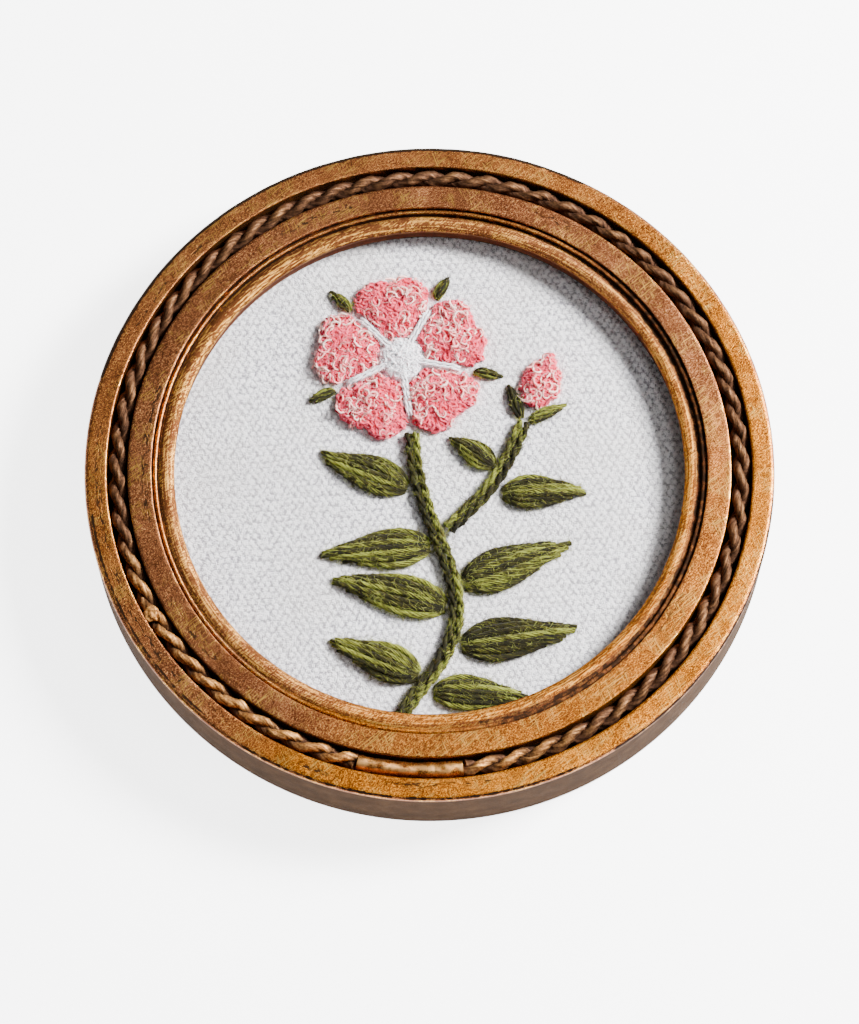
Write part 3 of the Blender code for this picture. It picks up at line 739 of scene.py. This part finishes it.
def worked_patch(name, spot, stations, columns):
    """A closed raised patch. spot(u, v) gives its surface, u along it from 0 to 1 and v across it from -1 to 1."""
    across = columns + 1
    points = []
    for i in range(stations + 1):
        for j in range(across):
            x, y, height = spot(i / stations, 2.0 * j / columns - 1.0)
            points.append((x, y, WORK_FLOOR + height))
    under = len(points)
    points += [(x, y, CLOTH_TOP) for x, y, _ in points]
    faces = []
    for i in range(stations):
        for j in range(columns):
            corner = i * across + j
            square = (corner, corner + across, corner + across + 1, corner + 1)
            faces += [square, tuple(under + k for k in reversed(square))]
    rim = [i * across for i in range(stations)]
    rim += [stations * across + j for j in range(columns)]
    rim += [i * across + columns for i in range(stations, 0, -1)]
    rim += list(range(columns, 0, -1))
    for before, after in zip(rim, rim[1:] + rim[:1]):
        faces.append((under + before, under + after, after, before))
    mesh = bpy.data.meshes.new(name)
    mesh.from_pydata(points, [], faces)
    mesh.shade_smooth()
    return new_piece(name, mesh)


# Geometry Nodes trees

KEEP = "GeometryNodeStoreNamedAttribute"
MOVE = "GeometryNodeSetPosition"
SWEEP = "GeometryNodeCurveToMesh"
CIRCLE = "GeometryNodeCurvePrimitiveCircle"
CARRIED = "GeometryNodeInputNamedAttribute"
AT_RANDOM = "FunctionNodeRandomValue"
SCATTERED = "GeometryNodeDistributePointsOnFaces"
REALIZE = "GeometryNodeRealizeInstances"
WHERE = "GeometryNodeInputPosition"


def socket_values(sizes):
    """The named inputs that a record of sizes fills. A field that ends in mm becomes metres."""
    return {
        field.removesuffix("_mm").replace("_", " ").capitalize(): value * MM if field.endswith("_mm") else value
        for field, value in sizes._asdict().items()
    }


def geometry_tree(name, sizes):
    """An empty tree with a named input for each size of a record, which gives its default, and for the material."""
    tree = bpy.data.node_groups.new(name, "GeometryNodeTree")
    for way in ("INPUT", "OUTPUT"):
        tree.interface.new_socket("Geometry", in_out=way, socket_type="NodeSocketGeometry")
    for label, value in socket_values(sizes).items():
        kind = "NodeSocketInt" if isinstance(value, int) else "NodeSocketFloat"
        tree.interface.new_socket(label, in_out="INPUT", socket_type=kind).default_value = value
    tree.interface.new_socket("Material", in_out="INPUT", socket_type="NodeSocketMaterial")
    return tree, add(tree, "NodeGroupInput").outputs


def end_tree(tree, given, *parts):
    """Joins the parts of a tree's result, all realised, and gives them their material."""
    both = add(tree, "GeometryNodeJoinGeometry")
    for part in parts:
        fill(tree, both, part)
    final = add(tree, "GeometryNodeSetMaterial", {"Geometry": both, "Material": given["Material"]})
    add(tree, "NodeGroupOutput", final)
    return tree


def work(source, tree, sizes, material):
    """Adds a tree to an object as a modifier and sets its named inputs."""
    modifier = source.modifiers.new(tree.name, "NODES")
    modifier.node_group = tree
    wanted = socket_values(sizes) | {"Material": material}
    for item in tree.interface.items_tree:
        if item.in_out == "INPUT" and item.name in wanted:
            modifier[item.identifier] = wanted[item.name]


def wobble(tree, geometry, size, amount):
    """Moves points by soft noise, so that no two parts of a yarn are alike."""
    drift = add(tree, NOISE, {"Vector": add(tree, WHERE), "Scale": 1.0 / size, "Detail": 1.0}).outputs["Color"]
    centred = add(tree, VECTOR, drift, (0.5, 0.5, 0.5), operation="SUBTRACT")
    return add(tree, MOVE, {"Geometry": geometry, "Offset": add(tree, VECTOR, centred, amount, operation="SCALE")})


def strew(tree, given, points, shape, low, high, size, tone):
    """Sets a shape on every point, turned at random between two sets of angles, with its size and tone."""
    spin = add(tree, AT_RANDOM, low, high, {"Seed": given["Seed"]}, data_type="FLOAT_VECTOR")
    turn = add(tree, "FunctionNodeEulerToRotation", spin)
    facing = add(tree, "FunctionNodeRotateRotation", points.outputs["Rotation"], turn, rotation_space="LOCAL")
    place = {"Points": points.outputs["Points"], "Instance": shape, "Rotation": facing, "Scale": size}
    strewn = add(tree, "GeometryNodeInstanceOnPoints", place)
    return add(tree, KEEP, {"Geometry": strewn, "Name": "tone", "Value": tone}, data_type="FLOAT", domain="INSTANCE")


def yarn_tree():
    """Plied yarn along every guide line, whose points carry girth and tone."""
    tree, given = geometry_tree("plied yarn", STEM_YARN)
    line = add(tree, "GeometryNodeMeshToCurve", given["Geometry"])
    line = add(tree, "GeometryNodeSetCurveNormal", line, mode="Z_UP")
    line = add(tree, "GeometryNodeResampleCurve", {"Curve": line, "Length": given["Step"]}, mode="LENGTH")
    copies = add(tree, "GeometryNodeDuplicateElements", {"Geometry": line, "Amount": given["Plies"]}, domain="SPLINE")
    along = add(tree, "GeometryNodeSplineParameter").outputs["Length"]
    girth = add(tree, CARRIED, "girth", data_type="FLOAT")
    kept = {"Geometry": copies.outputs[0], "Name": "along", "Value": along}
    kept = add(tree, KEEP, kept, data_type="FLOAT", domain="POINT")
    share = add(tree, MATHS, copies.outputs[1], given["Plies"], operation="DIVIDE")
    turns = add(tree, MATHS, along, given["Twist length"], operation="DIVIDE")
    turns = add(tree, MATHS, turns, share, operation="ADD")
    angle = add(tree, MATHS, turns, 2.0 * math.pi, operation="MULTIPLY")
    side = add(tree, "GeometryNodeInputNormal")
    up = add(tree, VECTOR, side, add(tree, "GeometryNodeInputTangent"), operation="CROSS_PRODUCT")
    sideways = add(tree, VECTOR, side, add(tree, MATHS, angle, operation="COSINE"), operation="SCALE")
    upwards = add(tree, VECTOR, up, add(tree, MATHS, angle, operation="SINE"), operation="SCALE")
    outwards = add(tree, VECTOR, sideways, upwards, operation="ADD")
    reach = add(tree, MATHS, given["Ply offset"], girth, operation="MULTIPLY")
    laid = add(tree, MOVE, {"Geometry": kept, "Offset": add(tree, VECTOR, outwards, reach, operation="SCALE")})
    own_turns = add(tree, MATHS, along, given["Ridge twist"], operation="DIVIDE")
    own_angle = add(tree, MATHS, own_turns, 2.0 * math.pi, operation="MULTIPLY")
    laid = add(tree, "GeometryNodeSetCurveTilt", {"Curve": laid, "Tilt": own_angle})
    place = add(tree, WHERE)
    circle = {"Geometry": add(tree, CIRCLE, {"Resolution": given["Sides"], "Radius": 1.0}), "Name": "round"}
    circle = add(tree, KEEP, circle | {"Value": place}, data_type="FLOAT_VECTOR", domain="POINT")
    split = add(tree, SPLIT, place)
    around = add(tree, MATHS, split.outputs["Y"], split.outputs["X"], operation="ARCTAN2")
    ridge = add(tree, MATHS, add(tree, MATHS, around, given["Ridges"], operation="MULTIPLY"), operation="COSINE")
    ridged = add(tree, MATHS, ridge, given["Ridge depth"], 1.0, operation="MULTIPLY_ADD")
    section = add(tree, MOVE, {"Geometry": circle, "Position": add(tree, VECTOR, place, ridged, operation="SCALE")})
    width = add(tree, MATHS, given["Ply radius"], girth, operation="MULTIPLY")
    tube = add(tree, SWEEP, {"Curve": laid, "Profile Curve": section, "Scale": width, "Fill Caps": True})
    tube = wobble(tree, tube, 1.3 * MM, given["Unevenness"])
    return end_tree(tree, given, add(tree, REALIZE, {"Geometry": tube}))


def fibre_tree():
    """Loose fibres that stand off a yarn: short bent hairs, paler than it, scattered over its surface."""
    tree, given = geometry_tree("loose fibres", GREEN_FIBRES)
    density = add(tree, MATHS, given["Density"], 1.0 / (MM * MM), operation="MULTIPLY")
    sown = {"Mesh": given["Geometry"], "Density": density, "Seed": given["Seed"]}
    points = add(tree, SCATTERED, sown, distribute_method="RANDOM")
    middle_out, middle_up, tip_out, tip_up = (
        add(tree, MATHS, given["Length"], share, operation="MULTIPLY") for share in (0.35, 0.40, 0.85, 0.30)
    )
    bend = {
        "Resolution": 3,
        "Start": (0.0, 0.0, 0.0),
        "Middle": add(tree, COMBINE, {"X": middle_out, "Z": middle_up}),
        "End": add(tree, COMBINE, {"X": tip_out, "Z": tip_up}),
    }
    hair = add(tree, "GeometryNodeCurveQuadraticBezier", bend)
    circle = add(tree, CIRCLE, {"Resolution": 3, "Radius": given["Thickness"]})
    hair = add(tree, SWEEP, {"Curve": hair, "Profile Curve": circle, "Fill Caps": True})
    size = add(tree, AT_RANDOM, 0.4, 1.3, {"Seed": given["Seed"]}, data_type="FLOAT")
    tone = add(tree, MATHS, add(tree, CARRIED, "tone", data_type="FLOAT"), given["Paler"], operation="ADD")
    hairs = strew(tree, given, points, hair, (-0.5, -0.5, -math.pi), (0.5, 0.5, math.pi), size, tone)
    return end_tree(tree, given, add(tree, REALIZE, {"Geometry": hairs}), given["Geometry"])


def loop_tree():
    """Curled loops of thread all over a pad, each a short spiral with its own turn, size and tone."""
    tree, given = geometry_tree("curled loops", PINK_PILE)
    facing_up = add(tree, SPLIT, add(tree, "GeometryNodeInputNormal")).outputs["Z"]
    loop = add(tree, CARRIED, "loop", data_type="FLOAT")
    top = add(tree, MATHS, facing_up, loop, operation="SUBTRACT")
    top = add(tree, MATHS, top, 0.05, operation="GREATER_THAN")
    drift = add(tree, NOISE, {"Vector": add(tree, WHERE), "Scale": 1.0 / (3.5 * MM)})
    bare = add(tree, MATHS, add(tree, LEVEL, drift, 0.56, 0.44), given["Clustering"], operation="MULTIPLY")
    sown = {
        "Mesh": given["Geometry"],
        "Selection": top,
        "Density Factor": add(tree, MATHS, 1.0, bare, operation="SUBTRACT"),
        "Distance Min": given["Spacing"],
        "Density Max": 6.0 / (MM * MM),
        "Seed": given["Seed"],
    }
    points = add(tree, SCATTERED, sown, distribute_method="POISSON")
    spiral = {
        "Resolution": 8,
        "Rotations": given["Turns"],
        "Start Radius": given["Inner radius"],
        "End Radius": given["Outer radius"],
        "Height": given["Rise"],
    }
    spiral = add(tree, "GeometryNodeCurveSpiral", spiral)
    circle = add(tree, CIRCLE, {"Resolution": 4, "Radius": given["Thread"]})
    curl = add(tree, SWEEP, {"Curve": spiral, "Profile Curve": circle, "Fill Caps": True})
    curl = add(tree, "GeometryNodeSetShadeSmooth", {"Geometry": curl})
    lean = add(tree, MATHS, given["Tilt"], -1.0, operation="MULTIPLY")
    low = add(tree, COMBINE, lean, lean, -math.pi)
    high = add(tree, COMBINE, given["Tilt"], given["Tilt"], math.pi)
    sizes = (0.55, 0.6, 0.6), (1.5, 1.1, 1.3)
    size = add(tree, AT_RANDOM, *sizes, {"Seed": given["Seed"]}, data_type="FLOAT_VECTOR")
    other_seed = {"Seed": add(tree, MATHS, given["Seed"], 5.0, operation="ADD")}
    shade = add(tree, AT_RANDOM, given["Darkest"], given["Palest"], other_seed, data_type="FLOAT")
    curls = strew(tree, given, points, curl, low, high, size, shade)
    curls = add(tree, KEEP, {"Geometry": curls, "Name": "loop", "Value": 1.0}, data_type="FLOAT", domain="INSTANCE")
    curls = wobble(tree, add(tree, REALIZE, {"Geometry": curls}), 1.1 * MM, given["Unevenness"])
    return end_tree(tree, given, curls, given["Geometry"])


# Yarn and stitches


def guide_lines(name, lines):
    """A wire mesh of lines. Each line is a list of (point, girth, tone)."""
    points = []
    edges = []
    for line in lines:
        start = len(points)
        points += line
        edges += [(start + i, start + i + 1) for i in range(len(line) - 1)]
    mesh = bpy.data.meshes.new(name)
    mesh.from_pydata([point for point, _, _ in points], edges, [])
    girth, tone = point_values(mesh, "girth", "tone")
    for i, (_, thick, shade) in enumerate(points):
        girth[i].value = thick
        tone[i].value = shade
    return new_piece(name, mesh)


def spin_yarn(name, lines, yarn, material, fibres=None):
    """Yarn along guide lines, with loose fibres where they are asked for."""
    source = guide_lines(name + "_guides", lines)
    work(source, YARN_TREE, yarn, material)
    if fibres:
        work(source, FIBRE_TREE, fibres, material)
    piece = plain_mesh(name, source)
    piece.data.shade_smooth()
    return piece


def looped(name, pad, shade, layers, fibres, material):
    """A pad of one shade, covered with layers of curled loops and with loose fibres, as one piece."""
    paint(pad, ("tone",), lambda *place: (shade,))
    for loops in layers:
        work(pad, LOOP_TREE, loops, material)
    work(pad, FIBRE_TREE, fibres, material)
    piece = plain_mesh(name, pad)
    piece.data.shade_smooth()
    return piece


def joined(name, parts):
    """Several meshes as one piece."""
    first = parts[0]
    with bpy.context.temp_override(active_object=first, selected_editable_objects=parts, object=first):
        bpy.ops.object.join()
    first.name = name
    first.data.name = name
    return first


def dress(piece, node):
    """The piece stands for a CAD node, whose own part is hidden, and lies with the root."""
    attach(piece, "root")
    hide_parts(node)
    return piece


def ring_line(start, end, count, level, girth_at):
    """One guide line along the cord's ring, between two angles. girth_at(share) gives its girth along it."""
    line = []
    for i in range(count + 1):
        share = i / count
        side = heading_vector(start + (end - start) * share) * CORD_RING
        line.append((raised(side, level), girth_at(share), 0.5))
    return [line]


def make_putty(spot, material):
    """A dab of gilded putty that holds the cord down at the lower left."""
    bm = bmesh.new()
    bmesh.ops.create_icosphere(bm, subdivisions=4, radius=PUTTY_RADIUS)
    for vert in bm.verts:
        lump = 1.0 + 0.4 * noise.noise(vert.co * (1.0 / (0.8 * MM)))
        vert.co = spot + raised(vert.co, vert.co.z * 0.6) * lump
    mesh = bpy.data.meshes.new("putty")
    bm.to_mesh(mesh)
    bm.free()
    mesh.materials.append(material)
    mesh.shade_smooth()
    return new_piece("putty", mesh)


def make_cord(material):
    """Two strands twisted hard round each other, each with its own fibres, with a painted highlight at the lower left.
    """
    start = SLEEVE_TO + CORD_GAP
    end = SLEEVE_FROM + 360.0 - CORD_GAP
    twist = 2.0 * math.radians(end - start) * CORD_RING / CORD_BULGES
    line = ring_line(start, end, 400, CORD_LEVEL, lambda share: 1.0)
    strands = spin_yarn("twisted_cord_strands", line, CORD_YARN._replace(twist_length_mm=twist / MM), material)
    dab = raised(heading_vector(PUTTY_AT) * (CORD_RING + 0.4 * MM), FACE - 0.4 * MM)
    piece = joined("twisted_cord_strands", [strands, make_putty(dab, material)])

    # Painted highlight along the lower left of the cord; the putty's top is bright gilding.
    def rub_and_highlight_at(spot, radius, angle):
        if (spot - dab).length < 1.5 * MM and spot.z > FACE - 0.6 * MM:
            return (2.5,)
        return (0.12 + 1.2 * ease(190.0, 215.0, angle) * ease(310.0, 275.0, angle),)

    paint(piece, ("rub_and_highlight",), rub_and_highlight_at)
    return piece


def make_sleeve(material):
    """The gilded bar that covers the meeting ends of the cord, pressed a little out of round."""

    def girth_at(share):
        return 0.93 + 0.05 * math.sin(9.0 * share) + 0.03 * math.sin(31.0 * share)

    def sleeve_gilding_at(spot, radius, angle):
        inner = ease(CORD_RING - 0.2 * MM, CORD_RING - 1.1 * MM, radius)
        # The top is brighter: rubbed gilding with a painted highlight.
        return 0.45 * inner, ease(14.0 * MM, 14.7 * MM, spot.z) * (1.0 - inner), 0.42

    line = ring_line(SLEEVE_FROM, SLEEVE_TO, 60, CORD_LEVEL - SLEEVE_DROP, girth_at)
    piece = spin_yarn("gilded_sleeve", line, SLEEVE_YARN, material)
    paint(piece, ("wax_and_shade", "rub_and_highlight", "wear_and_light"), sleeve_gilding_at)
    return piece


def stitched_leaf(base, heading, blade):
    """The surface of a leaf of long stitches, by the share along it and the place across it."""
    forward = heading_vector(heading)
    length, half_width, height = (size * MM for size in (blade.length_mm, blade.half_width_mm, blade.height_mm))

    def spot(u, v):
        reach = length * (1.0 - LEAF_SHORTENING * v * v)
        swell = math.sin(math.pi * u**0.8)
        taper = LEAF_BASE_WIDTH + (LEAF_TIP_WIDTH - LEAF_BASE_WIDTH) * u
        width = half_width * (taper + (1.0 - taper) * swell)
        point = base + forward * (reach * u) + to_the_left(forward) * (width * v)
        return point, LEAF_EDGE + (height - LEAF_EDGE) * (1.0 - v * v) * math.sin(math.pi * (0.12 + 0.8 * u))

    return spot


def leaf_lines(spot, strands, key):
    """One guide line for each long stitch of a leaf, with its own small sway and shade of green."""
    lines = []
    for k in range(strands):
        across = (2 * k + 1) / strands - 1.0
        pale = scatter(key, k, 1) < PALE_STRANDS
        shade = 0.62 + 0.20 * scatter(key, k, 2) if pale else 0.15 + 0.35 * scatter(key, k, 3)
        sway = 0.10 * (scatter(key, k, 4) - 0.5)
        shorter = 1.0 - 0.12 * scatter(key, k, 5)
        line = []
        for i in range(LEAF_LINE_POINTS):
            u = i / (LEAF_LINE_POINTS - 1)
            point, crown = spot(u * shorter, across + sway * math.sin(math.pi * u))
            fat = 0.74 + 0.26 * math.sin(math.pi * min(max(u, 0.04), 0.97) ** 0.85)
            sink = 0.50 * MM * (1.0 + 1.2 * (ease(0.12, 0.0, u) + ease(0.90, 1.0, u)))
            level = max(WORK_FLOOR + crown - sink, CLOTH_TOP - 0.1 * MM)
            line.append((raised(point, level), fat, shade + 0.12 * math.sin(5.0 * u + k)))
        lines.append(line)
    return lines


def make_leaf(blade, number, base, heading, material):
    key = blade.first_key + number
    lines = leaf_lines(stitched_leaf(base, heading, blade), blade.strands, key)
    yarn = LEAF_YARN._replace(ply_radius_mm=0.52 * blade.yarn_mm)
    piece = spin_yarn(f"{blade.kind}_stitches_{number}", lines, yarn, material, GREEN_FIBRES._replace(seed=key))
    dress(piece, f"{blade.kind}_{number}")


def smooth_route(points, count):
    """Evenly spaced points on a smooth curve through the given ones."""
    ends = [points[0] * 2 - points[1], *points, points[-1] * 2 - points[-2]]
    fine = []
    for a, b, c, d in zip(ends, ends[1:], ends[2:], ends[3:]):
        for step in range(16):
            t = step / 16
            spot = 2 * b + (c - a) * t + (2 * a - 5 * b + 4 * c - d) * t**2 + (3 * b - a - 3 * c + d) * t**3
            fine.append(0.5 * spot)
    fine.append(points[-1])
    reach = [0.0]
    for before, after in zip(fine, fine[1:]):
        reach.append(reach[-1] + (after - before).length)
    route = []
    at = 0
    for i in range(count):
        wanted = reach[-1] * i / (count - 1)
        while at < len(fine) - 2 and reach[at + 1] < wanted:
            at += 1
        share = (wanted - reach[at]) / (reach[at + 1] - reach[at])
        route.append(fine[at].lerp(fine[at + 1], share))
    return route


def spot_along(route, along):
    """The point and the direction of travel at a share of a route's length."""
    place_in_list = along * (len(route) - 1)
    at = min(int(place_in_list), len(route) - 2)
    spot = route[at].lerp(route[at + 1], place_in_list - at)
    return spot, (route[at + 1] - route[at]).normalized()


def clearance(heading, travel, half_width):
    """How far from a stem's centre line a piece of this half width starts."""
    across = abs(heading.x * travel.y - heading.y * travel.x)
    beside = abs(heading.dot(travel))
    return (STEM_HALF_WIDTH + GAP + half_width * beside) / across


def flower_spot(distance, degrees):
    return FLOWER + heading_vector(degrees + FLOWER_TURN) * distance


def make_stem(name, node, route, key, material):
    """Two yarns side by side along a stem, one dark and one pale."""
    lines = []
    for side, shade in ((-1, 0.20), (1, 0.62)):
        line = []
        for i, spot in enumerate(route):
            travel = (route[min(i + 1, len(route) - 1)] - route[max(i - 1, 0)]).normalized()
            point = spot + to_the_left(travel) * (side * STEM_YARN_APART)
            change = 0.16 * math.sin(0.9 * i + key * side)
            line.append((raised(point, WORK_FLOOR + STEM_YARN_LEVEL), 1.0, shade + change))
        lines.append(line)
    dress(spin_yarn(name, lines, STEM_YARN, material, GREEN_FIBRES._replace(seed=key)), node)


def petal_surface(middle):
    """The surface of the pad of the petal round a heading, with round shoulders and a shallow notch in its rim."""
    half_sector = 180.0 / PETALS
    start = EYE_RADIUS + GAP
    room = WHITE_WIDTH / 2 + GAP

    def spot(u, v):
        rim = PETAL_LENGTH * (1.0 - 0.28 * v**4 - 0.06 * bell(v, 0.0, 0.25))
        distance = start + (rim * PETAL_INSET - start) * u
        beyond = min(max((distance - 10.8 * MM) / MM, 0.0), 1.0)
        margin = room + (GAP / 2 - room) * beyond
        open_angle = half_sector - math.degrees(math.asin(margin / distance))
        point = flower_spot(distance, middle + open_angle * v * PETAL_INSET)
        crown = (1.0 - v * v) * math.sin(math.pi * (0.10 + 0.78 * u))
        lumps = 0.16 * MM * noise.noise(raised(point, 0.0) * (1.0 / (1.2 * MM)))
        return point.x, point.y, PETAL_PAD_RIM + (PETAL_PAD - PETAL_PAD_RIM) * crown + lumps

    return spot


def pink_loops(name, pad, key, material):
    """Deep pink pile with pale curls of thread standing out of it."""
    layers = PINK_PILE._replace(seed=key), PINK_CURLS._replace(seed=key + CURLS_SEED)
    return looped(name, pad, 0.32, layers, PINK_FIBRES._replace(seed=key + FIBRES_SEED), material)


def make_eye(material):
    """French knots on a padded round, with a pair of straight stitches down each furrow."""
    profile = []
    for degrees in range(0, 91, 9):
        lean = math.radians(degrees)
        profile.append((EYE_PAD_RADIUS * math.sin(lean), WORK_FLOOR + EYE_PAD_HEIGHT * math.cos(lean)))
    profile += [(EYE_PAD_RADIUS, CLOTH_TOP), (0.0, CLOTH_TOP)]
    pad = turned("eye_pad", profile, 32, False)
    for vert in pad.data.vertices:
        vert.co.x += FLOWER.x
        vert.co.y += FLOWER.y
    knots = looped("white_knots", pad, 0.6, [WHITE_KNOTS], EYE_FIBRES, material)
    lines = []
    for i in range(PETALS):
        along = heading_vector(90.0 + 360.0 / PETALS * (i + 0.5) + FLOWER_TURN)
        for side in (-1, 1):
            line = []
            for step in range(12):
                u = step / 11
                spot = FLOWER + along * (WHITE_START + (WHITE_END - WHITE_START) * u)
                spot = spot + to_the_left(along) * (side * WHITE_PAIR)
                rise = 1.0 * MM - 0.8 * MM * ease(0.85, 1.0, u)
                line.append((raised(spot, WORK_FLOOR + rise), 1.0, 0.8))
            lines.append(line)
    rays = spin_yarn("white_rays", lines, RAY_YARN, material, RAY_FIBRES)
    dress(joined("white_eye_stitches", [knots, rays]), "white_eye")


def make_flower(pink, white, green):
    make_eye(white)
    shown = 0
    for number in range(1, PETALS + 1):
        middle = 90.0 + 360.0 / PETALS * (number - 1)
        edge = middle + 180.0 / PETALS
        pad = worked_patch(f"petal_pad_{number}", petal_surface(middle), 26, 26)
        dress(pink_loops(f"looped_petal_{number}", pad, number, pink), f"petal_{number}")
        if round(edge) != STEM_SIDE:
            shown += 1
            make_leaf(SEPAL, shown, flower_spot(SEPAL_START, edge), edge + FLOWER_TURN, green)


def make_bud(stalk, pink, green):
    end = stalk[-1]
    travel = (stalk[-1] - stalk[-2]).normalized()
    heading = math.degrees(math.atan2(travel.y, travel.x))
    side = to_the_left(travel)

    def spot(u, v):
        width = BUD_PAD_HALF_WIDTH * math.sin(math.pi * (0.12 + 0.80 * u))
        reach = BUD_PAD_LENGTH * (1.0 - 0.10 * v * v)
        point = end + travel * (BUD_START + reach * u) + side * (width * v)
        crown = (1.0 - v * v) * math.sin(math.pi * (0.15 + 0.72 * u))
        return point.x, point.y, BUD_PAD_RIM + (BUD_PAD_HEIGHT - BUD_PAD_RIM) * crown

    dress(pink_loops("looped_bud", worked_patch("bud_pad", spot, 20, 16), 9, pink), "bud")
    away = 0.5 * BUD_SEPAL.half_width_mm * MM + GAP
    for number, way in enumerate((1, -1), 1):
        base = end + travel * away + side * (way * away)
        make_leaf(BUD_SEPAL, number, base, heading + way * BUD_SEPAL_TURN, green)


def make_greenery(pink, green):
    main = smooth_route([flower_spot(STEM_START, 270.0)] + [Vector(p) * MM for p in STEM_ROUTE], MAIN_POINTS)
    spot, travel = spot_along(main, STALK_LEAVES)
    away = heading_vector(STALK_TURN)
    start = spot + away * clearance(away, travel, STEM_HALF_WIDTH)
    stalk = smooth_route([start] + [Vector(p) * MM for p in STALK_ROUTE], STALK_POINTS)
    make_stem("couched_stem", "main_stem", main, 1, green)
    make_stem("couched_stalk", "bud_stalk", stalk, 2, green)
    routes = {"main": main, "stalk": stalk}
    for number, leaf in enumerate(LEAVES, 1):
        spot, travel = spot_along(routes[leaf.stem], leaf.along)
        heading = heading_vector(leaf.heading)
        base = spot + heading * clearance(heading, travel, leaf.half_width * MM * LEAF_BASE_WIDTH)
        yarn_mm = LEAF_YARN_SHARE * leaf.half_width
        blade = LEAF._replace(length_mm=leaf.length, half_width_mm=leaf.half_width, yarn_mm=yarn_mm)
        make_leaf(blade, number, base, leaf.heading, green)
    make_bud(stalk, pink, green)


# The studio


def hang_lamp(lamp, target):
    """A soft square lamp, placed by its direction from the target."""
    data = bpy.data.lights.new(lamp.name, "AREA")
    data.energy = lamp.power
    data.size = lamp.size
    rise = math.radians(lamp.elevation)
    direction = raised(heading_vector(lamp.azimuth) * math.cos(rise), math.sin(rise))
    light = new_piece(lamp.name, data)
    light.location = target + direction * lamp.away
    light.rotation_euler = direction.to_track_quat("Z", "Y").to_euler()


def make_studio():
    target = Vector((0.0, 0.0, FACE))
    for lamp in LAMPS:
        hang_lamp(lamp, target)
    world = bpy.data.worlds.new("studio")
    bpy.context.scene.world = world
    world.use_nodes = True
    fill(world.node_tree, world.node_tree.nodes["Background"], {"Color": "FFFFFF", "Strength": 0.12})
    mesh = bpy.data.meshes.new("floor")
    bm = bmesh.new()
    bmesh.ops.create_grid(bm, x_segments=2, y_segments=2, size=1.5)
    bm.to_mesh(mesh)
    bm.free()
    mesh.materials.append(floor_material())
    new_piece("floor", mesh)
    camera_data = bpy.data.cameras.new("camera")
    camera_data.lens = LENS_MM
    camera_data.clip_start = 0.05
    camera = new_piece("camera", camera_data)
    rise = math.radians(CAMERA_ELEVATION)
    camera.location = target + Vector((0.0, -math.cos(rise), math.sin(rise))) * CAMERA_AWAY
    camera.rotation_euler = (math.radians(90.0 - CAMERA_ELEVATION - CAMERA_DIP), 0.0, 0.0)
    bpy.context.scene.camera = camera


YARN_TREE = yarn_tree()
FIBRE_TREE = fibre_tree()
LOOP_TREE = loop_tree()

PINKS = {0.0: "C22E44", 0.25: "DB3E54", 0.5: "E65B6E", 0.75: "F5A29C", 1.0: "FFDCD0"}
GREENS = {0.0: "0F0D05", 0.3: "1D1B08", 0.55: "2C2A0D", 0.8: "4B4B18", 1.0: "888E36"}
WHITES = {0.0: "CFC3CA", 0.5: "EBE2E8", 1.0: "FBF7F9"}
gilt = gilt_material()
linen = linen_material()
pink_wool = wool_material("looped_pink_wool", PINKS, 0.10, 0.12)
green_wool = wool_material("olive_crewel_wool", GREENS, 0.42, 0.04)
white_cotton = wool_material("soft_white_cotton", WHITES, 0.10, 0.2)

dress(make_frame(gilt), "frame_ring")
dress(make_cord(cord_material()), "twisted_cord")
dress(make_sleeve(gilt), "cord_sleeve")
cloth = dress(make_cloth(linen), "ground_cloth")
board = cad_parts["backing_board"]
board.data.materials.clear()
board.data.materials.append(board_material())
make_flower(pink_wool, white_cotton, green_wool)
make_greenery(pink_wool, green_wool)
make_studio()
